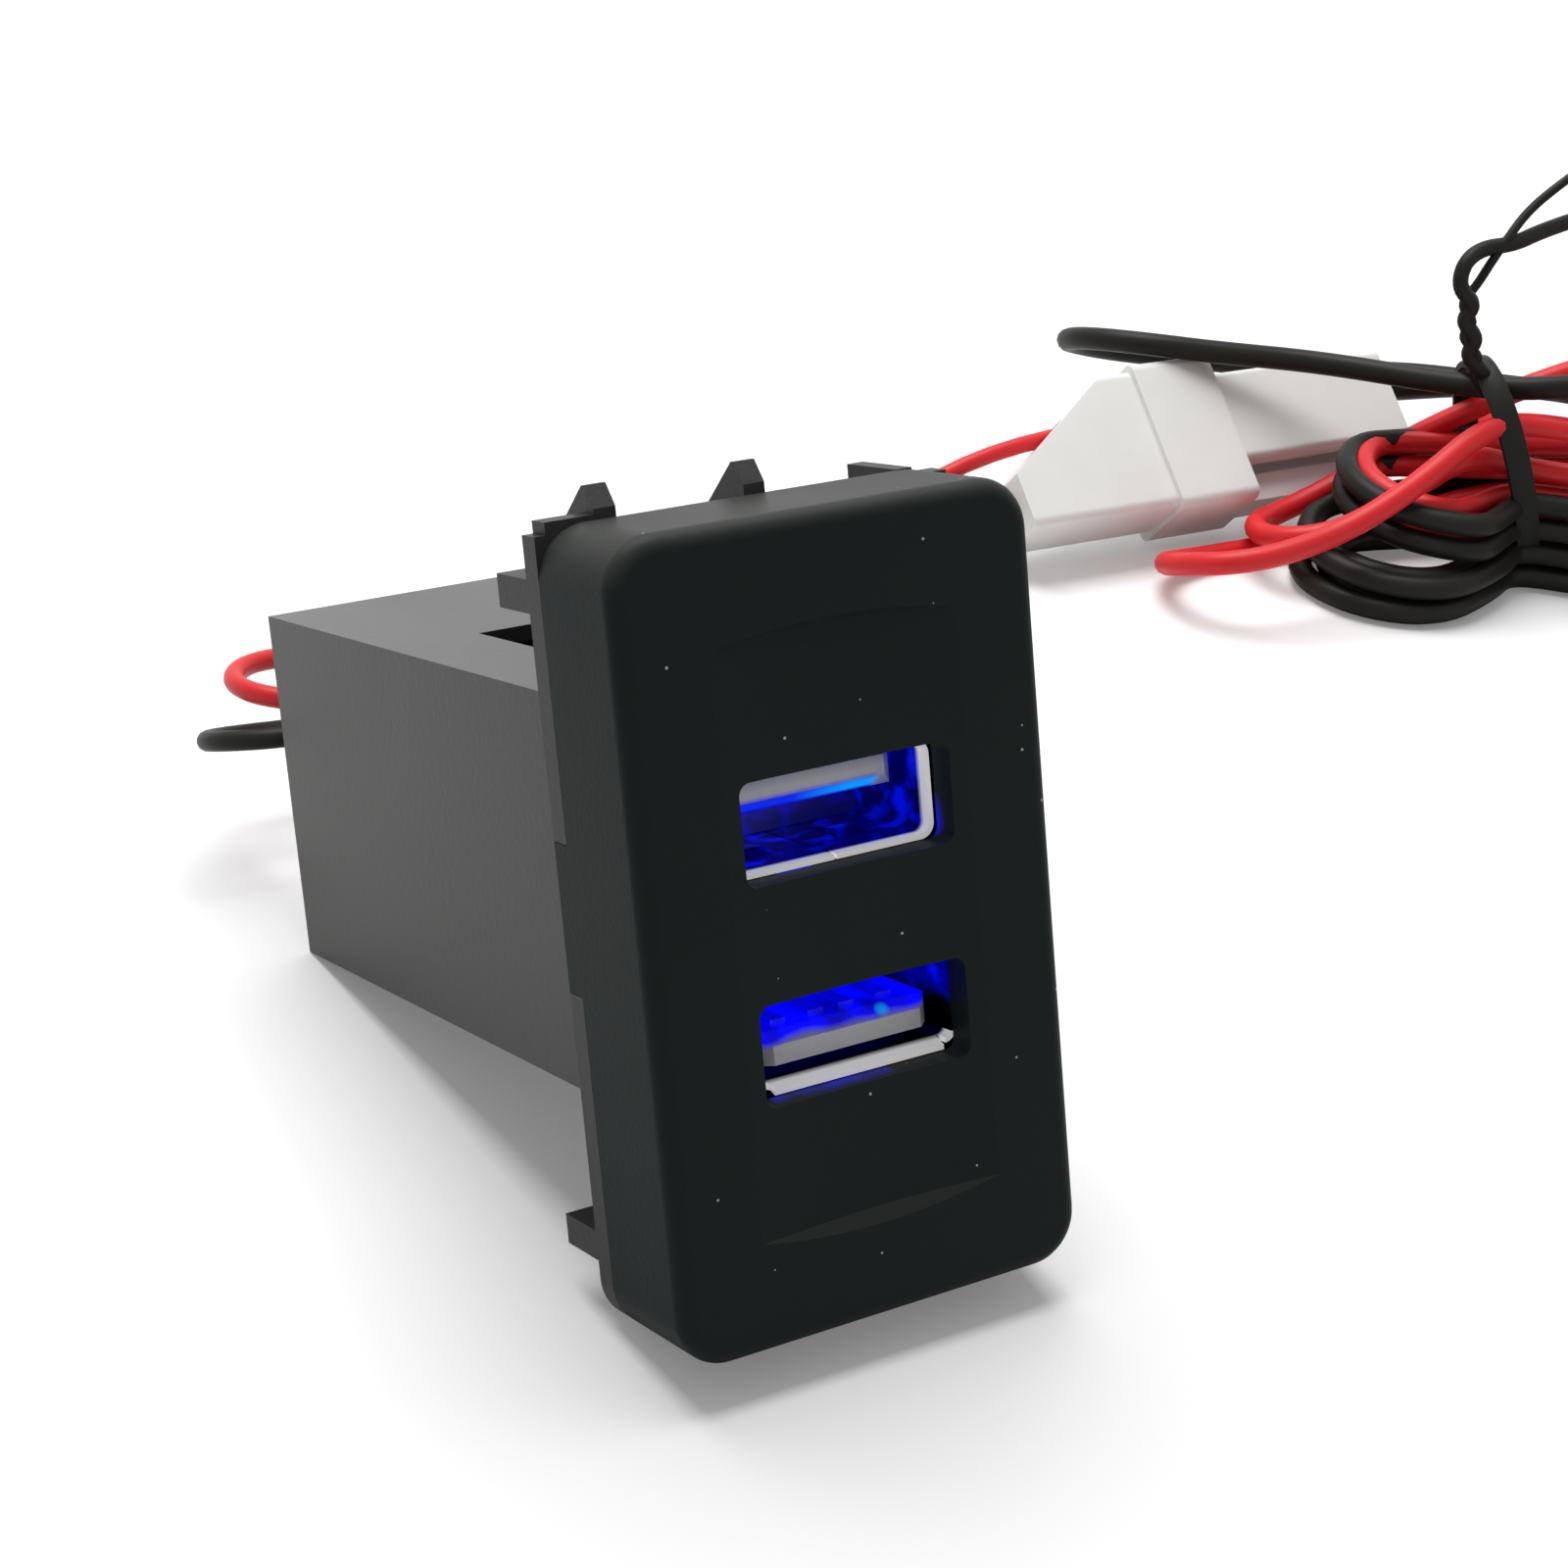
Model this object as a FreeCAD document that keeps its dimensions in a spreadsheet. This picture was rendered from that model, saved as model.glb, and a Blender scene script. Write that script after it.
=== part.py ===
import FreeCAD, Part

import math
import os

import Sketcher

from FreeCAD import Placement, Rotation, Vector

# Panel socket with two USB-A mouths, its circuit and its lead. Millimetres.
# X runs across the panel, Y points back behind it and Z up. Sizes are drawn from the bezel's back edge, and every
# finished piece is then moved forward by the snap frame's thickness, so y = 0 is the frame's rear face, which
# seats against the panel.

document = FreeCAD.newDocument("dual_usb_socket")
sheet = document.addObject("Spreadsheet::Sheet", "sizes")

SIZES = {
    "bezel_width": 26.4,
    "bezel_height": 46.0,
    "bezel_depth": 8.2,
    "bezel_corner_radius": 3.0,
    "bezel_front_round": 1.0,
    "bezel_wall": 1.4,
    "bezel_front_wall": 1.9,
    "pad_width": 15.6,
    "pad_hollow": 0.35,
    "pad_top": 16.1,
    "pad_bottom": 16.4,
    "pad_arch": 1.0,
    "pad_top_slope": 0.25,
    "pad_bottom_slope": 0.9,
    "mouth_width": 13.4,
    "mouth_height": 5.8,
    "mouth_round": 0.7,
    "upper_mouth_height": 6.1,
    "lower_mouth_height": -6.3,
    "tab_bottom": -3.0,
    "tab_length": 8.6,
    "tab_thickness": 0.85,
    "rib_length": 16.0,
    "rib_thickness": 1.0,
    "frame_thickness": 1.5,
    "frame_top": 22.6,
    "window_gap": 0.1,
    "bay_width": 18.0,
    "bay_gap": 2.0,
    "bay_rail": 2.6,
    "shelf_thickness": 1.2,
    "shelf_reach": 5.2,
    "skirt_reach": 3.0,
    "skirt_thickness": 1.1,
    "barb_width": 1.35,
    "barb_top": 24.8,
    "barb_step": 23.6,
    "barb_peak": 1.0,
    "left_barb_place": -8.85,
    "middle_barb_place": 0.5,
    "corner_block_width": 3.0,
    "corner_block_top": 23.3,
    "upper_bar_width": 1.8,
    "upper_bar_height": 1.9,
    "upper_bar_bottom": 18.3,
    "lower_bar_width": 2.5,
    "lower_bar_height": 1.8,
    "lower_bar_bottom": -18.9,
    "top_rib_place": 9.8,
    "top_rib_width": 1.1,
    "top_rib_top": 23.05,
    "housing_width": 23.4,
    "housing_height": 23.2,
    "housing_bottom": -9.8,
    "housing_length": 45.0,
    "housing_wall": 1.0,
    "housing_rear_wall": 1.2,
    "flange_height": 1.5,
    "flange_thickness": 1.2,
    "top_opening_width": 11.2,
    "top_opening_start": 11.0,
    "top_opening_end": 25.2,
    "rail_width": 1.2,
    "rail_height": 1.0,
    "rail_start": 8.0,
    "shell_width": 13.1,
    "shell_height": 5.7,
    "shell_sheet": 0.3,
    "shell_round": 0.9,
    "shell_seam": 0.15,
    "shell_front_gap": 0.05,
    "lip_length": 11.2,
    "lip_reach": 0.9,
    "lip_flare": 0.35,
    "spring_length": 3.4,
    "spring_width": 1.8,
    "spring_place": 2.9,
    "spring_bow": 0.35,
    "upper_port_height": 6.1,
    "upper_port_place": 0.0,
    "lower_port_height": -5.95,
    "lower_port_place": 0.45,
    "fit_gap": 0.05,
    "tongue_width": 11.1,
    "tongue_thickness": 1.84,
    "tongue_offset": 1.0,
    "tongue_bevel": 0.7,
    "upper_tongue_front": 4.2,
    "lower_tongue_front": 5.2,
    "insulator_depth": 3.0,
    "contact_width": 1.0,
    "contact_thickness": 0.2,
    "contact_setback": 1.0,
    "front_board_place": 4.4,
    "board_thickness": 1.6,
    "front_board_width": 20.6,
    "front_board_bottom": -8.3,
    "front_board_height": 20.0,
    "main_board_width": 20.6,
    "main_board_top": 3.0,
    "main_board_start": 7.0,
    "main_board_end": 42.4,
    "nose_width": 8.0,
    "light_width": 2.0,
    "light_height": 1.25,
    "light_depth": 0.8,
    "light_spread": 3.2,
    "light_place": 0.1,
    "inductor_radius": 4.0,
    "inductor_height": 5.4,
    "inductor_waist": 3.0,
    "inductor_flange": 0.9,
    "inductor_x": -4.6,
    "inductor_y": 32.5,
    "input_can_radius": 3.15,
    "input_can_height": 7.6,
    "input_can_x": 5.6,
    "input_can_y": 35.6,
    "output_can_radius": 2.5,
    "output_can_height": 7.0,
    "output_can_x": 6.4,
    "output_can_y": 28.4,
    "chip_length": 4.9,
    "chip_width": 3.9,
    "chip_height": 1.5,
    "chip_x": -1.5,
    "chip_y": 18.5,
    "chip_pin_reach": 1.0,
    "chip_pin_width": 0.42,
    "chip_pin_pitch": 1.27,
    "diode_length": 4.3,
    "diode_width": 2.6,
    "diode_height": 2.1,
    "diode_x": 6.0,
    "diode_y": 21.0,
    "diode_foot": 0.5,
    "lead_diameter": 1.5,
    "lead_start": 40.5,
    "red_lead_place": 0.0,
    "black_lead_place": 3.2,
    "lead_hole_gap": 0.2,
    "harness_diameter": 2.1,
    "connector_tilt": 42.0,
    "connector_turn": -2.0,
    "connector_split": 94.3,
    "connector_near": 80.2,
    "socket_length": 24.0,
    "socket_width": 13.6,
    "socket_height": 6.5,
    "socket_wall": 0.9,
    "socket_slope_length": 12.5,
    "socket_slope_width": 8.4,
    "collar_length": 8.5,
    "collar_step": 0.5,
    "plug_length": 26.5,
    "plug_width": 11.4,
    "plug_height": 4.6,
    "plug_insertion": 7.0,
    "grip_start": 3.4,
    "grip_width": 8.9,
    "grip_height": 6.3,
    "latch_width": 2.6,
    "latch_length": 16.0,
    "latch_thickness": 3.6,
    "terminal_pitch": 5.6,
    "terminal_bore": 2.7,
    "terminal_tab_width": 2.0,
    "terminal_tab_thickness": 0.6,
    "hank_width": 20.0,
    "hank_height": 18.5,
    "tie_slant": 18.0,
    "tie_width": 2.2,
    "tie_thickness": 0.8,
    "loop_width": 14.6,
}

for row, (alias, value) in enumerate(SIZES.items(), start=1):
    cell = "A%d" % row
    sheet.set(cell, str(value))
    sheet.setAlias(cell, alias)
document.recompute()


def size(alias):
    """The value of one driving dimension, for the shapes that are not bound by an expression."""
    return float(getattr(sheet, alias))


def named(expression):
    """Turns @name in an expression into the sheet's cell of that name."""
    return expression.replace("@", "sizes.")


def new_body(name):
    return document.addObject("PartDesign::Body", name)


def new_sketch(body, name, plane, offset):
    """A sketch on one of the body's own planes, moved along the plane's normal by an expression."""
    sketch = body.newObject("Sketcher::SketchObject", name)
    origin = [f for f in body.Origin.OriginFeatures if f.Role == plane][0]
    sketch.AttachmentSupport = [(origin, "")]
    sketch.MapMode = "FlatFace"
    sketch.setExpression("AttachmentOffset.Base.z", named(offset))
    return sketch


def fix_point(sketch, line, across, up):
    """Ties the first point of a line to its two distances from the sketch's origin."""
    for kind, expression in (("DistanceX", across), ("DistanceY", up)):
        index = sketch.addConstraint(Sketcher.Constraint(kind, -1, 1, line, 1, 0.5))
        sketch.setExpression("Constraints[%d]" % index, named(expression))


def draw_polygon(sketch, corners):
    """Closed outline of straight lines. Each corner is a pair of expressions; the start shape is a rough circle."""
    first = sketch.GeometryCount
    count = len(corners)
    rough = [
        Vector(math.cos(2 * math.pi * i / count), math.sin(2 * math.pi * i / count), 0)
        for i in range(count)
    ]
    for i in range(count):
        sketch.addGeometry(Part.LineSegment(rough[i], rough[(i + 1) % count]), False)
    for i in range(count):
        following = first + (i + 1) % count
        sketch.addConstraint(Sketcher.Constraint("Coincident", first + i, 2, following, 1))
    for i, (across, up) in enumerate(corners):
        fix_point(sketch, first + i, across, up)


def draw_rectangle(sketch, left, bottom, width, height):
    right = "(%s) + (%s)" % (left, width)
    top = "(%s) + (%s)" % (bottom, height)
    draw_polygon(sketch, [(left, bottom), (right, bottom), (right, top), (left, top)])


def extrude(body, kind, name, sketch, length, reverse=False):
    """Pads or pockets a sketch by an expression."""
    feature = body.newObject("PartDesign::" + kind, name)
    feature.Profile = sketch
    feature.Length = 1
    feature.Reversed = reverse
    feature.setExpression("Length", named(length))
    sketch.Visibility = False
    document.recompute()
    return feature


def pad_front(body, name, offset, rectangles, length, forward):
    """Rectangles drawn on a plane across Y and padded forward, to -Y, or back, to +Y."""
    sketch = new_sketch(body, name + "_outline", "XZ_Plane", offset)
    for rectangle in rectangles:
        draw_rectangle(sketch, *rectangle)
    return extrude(body, "Pad", name, sketch, length, reverse=not forward)


def pocket_front(body, name, offset, rectangles, length, forward):
    """Rectangles drawn on a plane across Y and cut forward, to -Y, or back, to +Y."""
    sketch = new_sketch(body, name + "_outline", "XZ_Plane", offset)
    for rectangle in rectangles:
        draw_rectangle(sketch, *rectangle)
    before = body.Shape.Volume
    feature = extrude(body, "Pocket", name, sketch, length, reverse=forward)
    if not body.Shape.Volume < before - 1e-6:
        raise RuntimeError(name + " cuts nothing")
    return feature


def edges_where(shape, test):
    return ["Edge%d" % (i + 1) for i, edge in enumerate(shape.Edges) if test(edge)]


def along(edge, axis):
    """Whether an edge is straight and runs along one axis, given as 0, 1 or 2."""
    if edge.Curve.TypeId != "Part::GeomLine":
        return False
    direction = edge.tangentAt(edge.FirstParameter)
    return abs(abs(direction[axis]) - 1) < 1e-6


def dress(body, kind, name, base, edges, value):
    """A fillet or a chamfer on chosen edges of the feature before it."""
    feature = body.newObject("PartDesign::" + kind, name)
    feature.Base = (base, edges)
    key = "Radius" if kind == "Fillet" else "Size"
    feature.setExpression(key, named(value))
    document.recompute()
    return feature


def new_box(name, corner, sides):
    """A block with its low corner and its three sides given as expressions."""
    block = document.addObject("Part::Box", name)
    for key, expression in zip(("Length", "Width", "Height"), sides):
        block.setExpression(key, named(expression))
    for key, expression in zip("xyz", corner):
        block.setExpression("Placement.Base." + key, named(expression))
    return block


def new_cylinder(name, centre, radius, height):
    """An upright cylinder on a centre given as expressions."""
    cylinder = document.addObject("Part::Cylinder", name)
    cylinder.setExpression("Radius", named(radius))
    cylinder.setExpression("Height", named(height))
    for key, expression in zip("xyz", centre):
        cylinder.setExpression("Placement.Base." + key, named(expression))
    return cylinder


def combine(kind, name, first, second):
    """One boolean of two objects, or of one object and a list."""
    if kind == "MultiFuse":
        result = document.addObject("Part::MultiFuse", name)
        result.Shapes = [first] + list(second)
        return result
    result = document.addObject("Part::" + kind, name)
    result.Base = first
    result.Tool = second
    return result


def solid_feature(name, shape):
    feature = document.addObject("Part::Feature", name)
    feature.Shape = shape
    return feature


nodes = {}


def keep(name, thing):
    """Names a finished piece and moves it forward, so that the frame's rear face is y = 0."""
    place = "%.6f" % thing.Placement.Base.y
    for entry in thing.ExpressionEngine:
        if entry[0].strip(".") == "Placement.Base.y":
            place = entry[1]
    thing.setExpression("Placement.Base.y", "%s - sizes.frame_thickness" % place)
    thing.Label = name
    nodes[name] = thing


# Bezel: a moulded cap with rounded corners, two mouths in its face, a snap tab on each side and two ribs inside
# that hold the rear housing back against the snap frame.

bezel = new_body("bezel_body")
cap = pad_front(
    bezel,
    "cap",
    "0",
    [("-@bezel_width / 2", "-@bezel_height / 2", "@bezel_width", "@bezel_height")],
    "@bezel_depth",
    forward=True,
)
corners = edges_where(cap.Shape, lambda edge: along(edge, 1))
cap_corners = dress(bezel, "Fillet", "cap_corners", cap, corners, "@bezel_corner_radius")
front = -size("bezel_depth")
face_edges = edges_where(
    cap_corners.Shape, lambda edge: abs(edge.BoundBox.YMax - front) < 1e-6
)
cap_round = dress(bezel, "Fillet", "cap_round", cap_corners, face_edges, "@bezel_front_round")
pocket_front(
    bezel,
    "cavity",
    "0",
    [
        (
            "@bezel_wall - @bezel_width / 2",
            "@bezel_wall - @bezel_height / 2",
            "@bezel_width - 2 * @bezel_wall",
            "@bezel_height - 2 * @bezel_wall",
        )
    ],
    "@bezel_depth - @bezel_front_wall",
    forward=True,
)
mouths = pocket_front(
    bezel,
    "mouths",
    "@bezel_depth - @bezel_front_wall",
    [
        ("-@mouth_width / 2", "@upper_mouth_height - @mouth_height / 2", "@mouth_width", "@mouth_height"),
        ("-@mouth_width / 2", "@lower_mouth_height - @mouth_height / 2", "@mouth_width", "@mouth_height"),
    ],
    "@bezel_front_wall + 1",
    forward=True,
)
mouth_half = size("mouth_width") / 2
mouth_corners = edges_where(
    mouths.Shape,
    lambda edge: along(edge, 1)
    and abs(abs(edge.CenterOfMass.x) - mouth_half) < 1e-6
    and abs(edge.CenterOfMass.y) > size("bezel_depth") - size("bezel_front_wall"),
)
dress(bezel, "Fillet", "mouth_corners", mouths, mouth_corners, "@mouth_round")
pad_front(
    bezel,
    "ribs",
    "@bezel_depth - @bezel_front_wall",
    [
        (
            "-@rib_length / 2",
            "@housing_bottom + @housing_height + @flange_height - @rib_thickness",
            "@rib_length",
            "@rib_thickness",
        ),
        ("-@rib_length / 2", "@housing_bottom - @flange_height", "@rib_length", "@rib_thickness"),
    ],
    "@bezel_depth - @bezel_front_wall - @flange_thickness - @fit_gap",
    forward=False,
)
tabs = pad_front(
    bezel,
    "tabs",
    "0",
    [
        ("-@bezel_width / 2", "@tab_bottom", "@tab_thickness", "@tab_length"),
        ("@bezel_width / 2 - @tab_thickness", "@tab_bottom", "@tab_thickness", "@tab_length"),
    ],
    "@frame_thickness",
    forward=False,
)

# The thumb pad is a shallow hollow in the face: an upright cylinder's curve that fades out at the sides, between
# an arched step at the top and an arched bevel at the bottom.


def pad_outline(y, shrink_top, shrink_bottom):
    """The pad's outline at one depth: two upright sides joined by two arcs that bulge away from the middle."""
    half = size("pad_width") / 2 + 1.0
    top = size("pad_top") - shrink_top
    bottom = -size("pad_bottom") + shrink_bottom
    arch = size("pad_arch")
    low_left, low_right = Vector(-half, y, bottom), Vector(half, y, bottom)
    high_left, high_right = Vector(-half, y, top), Vector(half, y, top)
    edges = [
        Part.LineSegment(low_left, high_left).toShape(),
        Part.Arc(high_left, Vector(0, y, top + arch), high_right).toShape(),
        Part.LineSegment(high_right, low_right).toShape(),
        Part.Arc(low_right, Vector(0, y, bottom - arch), low_left).toShape(),
    ]
    return Part.Wire(edges)


hollow = size("pad_hollow")
pad_block = Part.makeLoft(
    [
        pad_outline(front - hollow, -size("pad_top_slope"), -size("pad_bottom_slope")),
        pad_outline(front + hollow, size("pad_top_slope"), size("pad_bottom_slope")),
    ],
    True,
    True,
)
half_pad = size("pad_width") / 2
pad_radius = (half_pad**2 + hollow**2) / (2 * hollow)
pad_roller = Part.makeCylinder(
    pad_radius,
    size("bezel_height"),
    Vector(0, front + hollow - pad_radius, -size("bezel_height") / 2),
)
pad_tool = solid_feature("pad_tool", pad_block.common(pad_roller))
bezel_done = combine("Cut", "bezel_done", bezel, pad_tool)
keep("bezel", bezel_done)

# Snap frame: a flat ring behind the bezel with a window for the rear housing. Two barbs and a corner block stand
# on its top rail, bars reach back from its sides, and two skirts plug into the bezel.

frame = new_body("frame_body")
ring = pad_front(
    frame,
    "ring",
    "0",
    [("-@bezel_width / 2", "-@bezel_height / 2", "@bezel_width", "@frame_top + @bezel_height / 2")],
    "@frame_thickness",
    forward=False,
)
lower_corners = edges_where(ring.Shape, lambda edge: along(edge, 1) and edge.CenterOfMass.z < 0)
dress(frame, "Fillet", "ring_corners", ring, lower_corners, "@bezel_corner_radius")
pad_front(
    frame,
    "skirts",
    "0",
    [
        (
            "-@bay_width / 2",
            "@bezel_height / 2 - @bezel_wall - @fit_gap - @skirt_thickness",
            "@bay_width",
            "@skirt_thickness",
        ),
        (
            "-@bay_width / 2",
            "@bezel_wall + @fit_gap - @bezel_height / 2",
            "@bay_width",
            "@skirt_thickness",
        ),
    ],
    "@skirt_reach",
    forward=True,
)
pad_front(
    frame,
    "shelves",
    "-@frame_thickness",
    [
        (
            "-@bezel_width / 2 + @upper_bar_width + 1",
            "@barb_step - 2.1 - @shelf_thickness",
            "@bezel_width - @upper_bar_width - 1",
            "@shelf_thickness",
        ),
        (
            "-@bay_width / 2 - 1",
            "@bezel_wall - @bezel_height / 2",
            "@bay_width + 2",
            "@shelf_thickness",
        ),
    ],
    "@shelf_reach - @frame_thickness",
    forward=False,
)
pad_front(
    frame,
    "bars",
    "-@frame_thickness",
    [
        ("-@bezel_width / 2", "@upper_bar_bottom", "@upper_bar_width", "@upper_bar_height"),
        (
            "@bezel_width / 2 - @upper_bar_width",
            "@upper_bar_bottom",
            "@upper_bar_width",
            "@upper_bar_height",
        ),
        ("-@bezel_width / 2", "@lower_bar_bottom", "@lower_bar_width", "@lower_bar_height"),
        (
            "@bezel_width / 2 - @lower_bar_width",
            "@lower_bar_bottom",
            "@lower_bar_width",
            "@lower_bar_height",
        ),
    ],
    "@shelf_reach - @frame_thickness",
    forward=False,
)
pad_front(
    frame,
    "top_rib",
    "0",
    [
        (
            "@top_rib_place",
            "@barb_step - 2.1 - @shelf_thickness",
            "@top_rib_width",
            "@top_rib_top - @barb_step + 2.1 + @shelf_thickness",
        )
    ],
    "@shelf_reach",
    forward=False,
)
pad_front(
    frame,
    "corner_block",
    "0",
    [
        (
            "@left_barb_place - @barb_width / 2 - @corner_block_width",
            "@frame_top - 1",
            "@corner_block_width + 0.1",
            "@corner_block_top - @frame_top + 1",
        )
    ],
    "@frame_thickness",
    forward=False,
)
for barb_name in ("left_barb", "middle_barb"):
    barb_sketch = new_sketch(
        frame, barb_name + "_outline", "YZ_Plane", "@%s_place - @barb_width / 2" % barb_name
    )
    draw_polygon(
        barb_sketch,
        [
            ("0", "@barb_step - 2.1"),
            ("@shelf_reach", "@barb_step - 2.1"),
            ("@barb_peak + 0.2", "@barb_top"),
            ("@barb_peak - 0.1", "@barb_top"),
            ("0", "@barb_step"),
        ],
    )
    extrude(frame, "Pad", barb_name, barb_sketch, "@barb_width")
pocket_front(
    frame,
    "windows",
    "-@shelf_reach - 1",
    [
        (
            "-@housing_width / 2 - @window_gap",
            "@housing_bottom - @window_gap",
            "@housing_width + 2 * @window_gap",
            "@housing_height + 2 * @window_gap",
        ),
        (
            "-@bay_width / 2",
            "@housing_bottom + @housing_height + @bay_gap",
            "@bay_width",
            "@frame_top - @bay_rail - @housing_bottom - @housing_height - @bay_gap",
        ),
        (
            "-@bay_width / 2",
            "@bay_rail - @bezel_height / 2",
            "@bay_width",
            "@housing_bottom - @bay_gap - @bay_rail + @bezel_height / 2",
        ),
    ],
    "@shelf_reach + 2",
    forward=True,
)
pocket_front(
    frame,
    "tab_notches",
    "-@shelf_reach",
    [
        (
            "-@bezel_width / 2 - 1",
            "@tab_bottom - @fit_gap",
            "@tab_thickness + @fit_gap + 1",
            "@tab_length + 2 * @fit_gap",
        ),
        (
            "@bezel_width / 2 - @tab_thickness - @fit_gap",
            "@tab_bottom - @fit_gap",
            "@tab_thickness + @fit_gap + 1",
            "@tab_length + 2 * @fit_gap",
        ),
    ],
    "@shelf_reach",
    forward=True,
)
keep("snap_frame", frame)

# Rear housing: a plain box, open at the front, with a narrow flange above and below that the snap frame holds.
# It has an opening in its top, two holes for the leads in its rear wall and a rail on each side for the board.

housing = new_body("housing_body")
pad_front(
    housing,
    "box",
    "0",
    [("-@housing_width / 2", "@housing_bottom", "@housing_width", "@housing_height")],
    "@housing_length",
    forward=False,
)
pad_front(
    housing,
    "flange",
    "0",
    [
        (
            "-@housing_width / 2",
            "@housing_bottom - @flange_height",
            "@housing_width",
            "@housing_height + 2 * @flange_height",
        )
    ],
    "@flange_thickness",
    forward=True,
)
pocket_front(
    housing,
    "chamber",
    "@flange_thickness",
    [
        (
            "@housing_wall - @housing_width / 2",
            "@housing_bottom + @housing_wall",
            "@housing_width - 2 * @housing_wall",
            "@housing_height - 2 * @housing_wall",
        )
    ],
    "@housing_length - @housing_rear_wall + @flange_thickness",
    forward=False,
)
pad_front(
    housing,
    "rails",
    "@housing_rear_wall - @housing_length",
    [
        (
            "@housing_wall - @housing_width / 2",
            "@main_board_top - @board_thickness - @rail_height",
            "@rail_width",
            "@rail_height",
        ),
        (
            "@housing_width / 2 - @housing_wall - @rail_width",
            "@main_board_top - @board_thickness - @rail_height",
            "@rail_width",
            "@rail_height",
        ),
    ],
    "@housing_length - @housing_rear_wall - @rail_start",
    forward=True,
)
top_sketch = new_sketch(housing, "top_opening_outline", "XY_Plane", "@housing_bottom + @housing_height")
draw_rectangle(
    top_sketch,
    "-@top_opening_width / 2",
    "@top_opening_start",
    "@top_opening_width",
    "@top_opening_end - @top_opening_start",
)
extrude(housing, "Pocket", "top_opening", top_sketch, "@housing_wall + 0.5")
hole_sketch = new_sketch(housing, "lead_holes_outline", "XZ_Plane", "-@housing_length")
for colour in ("red", "black"):
    hole = hole_sketch.addGeometry(Part.Circle(Vector(0, 0, 0), Vector(0, 0, 1), 1), False)
    radius = hole_sketch.addConstraint(Sketcher.Constraint("Radius", hole, 1))
    hole_sketch.setExpression("Constraints[%d]" % radius, named("@lead_diameter / 2 + @lead_hole_gap"))
    for kind, expression in (
        ("DistanceX", "@%s_lead_place" % colour),
        ("DistanceY", "@main_board_top + @lead_diameter / 2 + @fit_gap"),
    ):
        index = hole_sketch.addConstraint(Sketcher.Constraint(kind, -1, 1, hole, 3, 0.5))
        hole_sketch.setExpression("Constraints[%d]" % index, named(expression))
volume_before = housing.Shape.Volume
extrude(housing, "Pocket", "lead_holes", hole_sketch, "@housing_rear_wall + 0.5", reverse=True)
if not housing.Shape.Volume < volume_before - 1e-6:
    housing.getObject("lead_holes").Reversed = False
    document.recompute()
keep("rear_housing", housing)

# USB-A receptacles. Each shell is a folded steel sleeve with a seam in the side that faces its solder side, a
# flared lip in the opposite side, and two spring tabs. The insulator fills its rear end and carries the tongue
# and four contacts. The lower port is the upper one turned over, so its tongue and seam change sides.

PORTS = {"upper": 1, "lower": -1}


def port_frame(port):
    """Middle of the port's shell on the inside of the bezel's face."""
    return Vector(
        size(port + "_port_place"),
        -size("bezel_depth") + size("bezel_front_wall") + size("shell_front_gap"),
        size(port + "_port_height"),
    )


def rounded_sleeve(width, height, radius, length):
    """A rounded bar along +Y whose section is centred on the Y axis."""
    bar = Part.makeBox(width, length, height, Vector(-width / 2, 0, -height / 2))
    if radius <= 0:
        return bar
    return bar.makeFillet(radius, [e for e in bar.Edges if along(e, 1)])


def shell_shape(port):
    """The sleeve in its own upright position, before the lower one is turned over."""
    width, height, sheet_gauge = size("shell_width"), size("shell_height"), size("shell_sheet")
    length = size("front_board_place") - port_frame(port).y
    outer = rounded_sleeve(width, height, size("shell_round"), length)
    inner = rounded_sleeve(
        width - 2 * sheet_gauge, height - 2 * sheet_gauge, size("shell_round") - sheet_gauge, length + 2
    )
    inner.translate(Vector(0, -1, 0))
    shell = outer.cut(inner)
    seam = Part.makeBox(
        size("shell_seam"),
        length + 2,
        2 * sheet_gauge,
        Vector(-size("shell_seam") / 2, -1, -height / 2 - sheet_gauge / 2),
    )
    shell = shell.cut(seam)
    spring_start = size("spring_place")
    for side in (-1, 1):
        x = side * width / 4 - size("spring_width") / 2
        for face in (-1, 1):
            z = face * (height / 2 - sheet_gauge / 2)
            slot = Part.makeBox(
                size("spring_width") + 0.5,
                size("spring_length") + 0.3,
                2 * sheet_gauge,
                Vector(x - 0.25, spring_start, z - sheet_gauge),
            )
            spring_path = [
                Vector(x, spring_start + size("spring_length") + 0.3, z - face * sheet_gauge / 2),
                Vector(x, spring_start + 0.9, z - face * (size("spring_bow") + sheet_gauge / 2)),
                Vector(x, spring_start + 0.25, z - face * sheet_gauge / 2),
                Vector(x, spring_start + 0.25, z + face * sheet_gauge / 2),
                Vector(x, spring_start + 0.9, z - face * (size("spring_bow") - sheet_gauge / 2)),
                Vector(x, spring_start + size("spring_length") + 0.3, z + face * sheet_gauge / 2),
            ]
            profile = Part.Face(Part.makePolygon(spring_path + spring_path[:1]))
            spring = profile.extrude(Vector(size("spring_width"), 0, 0))
            shell = shell.cut(slot).fuse(spring)
    lip_length, reach, flare = size("lip_length"), size("lip_reach"), size("lip_flare")
    top = height / 2
    lip_points = [
        Vector(-lip_length / 2, reach, top - sheet_gauge),
        Vector(-lip_length / 2, 0, top - sheet_gauge + flare),
        Vector(-lip_length / 2, 0, top + flare),
        Vector(-lip_length / 2, reach, top),
    ]
    lip_room = Part.makeBox(
        lip_length + 0.3,
        reach,
        3 * sheet_gauge,
        Vector(-lip_length / 2 - 0.15, 0, top - 2 * sheet_gauge),
    )
    lip = Part.Face(Part.makePolygon(lip_points + lip_points[:1])).extrude(Vector(lip_length, 0, 0))
    return shell.cut(lip_room).fuse(lip).removeSplitter()


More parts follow.
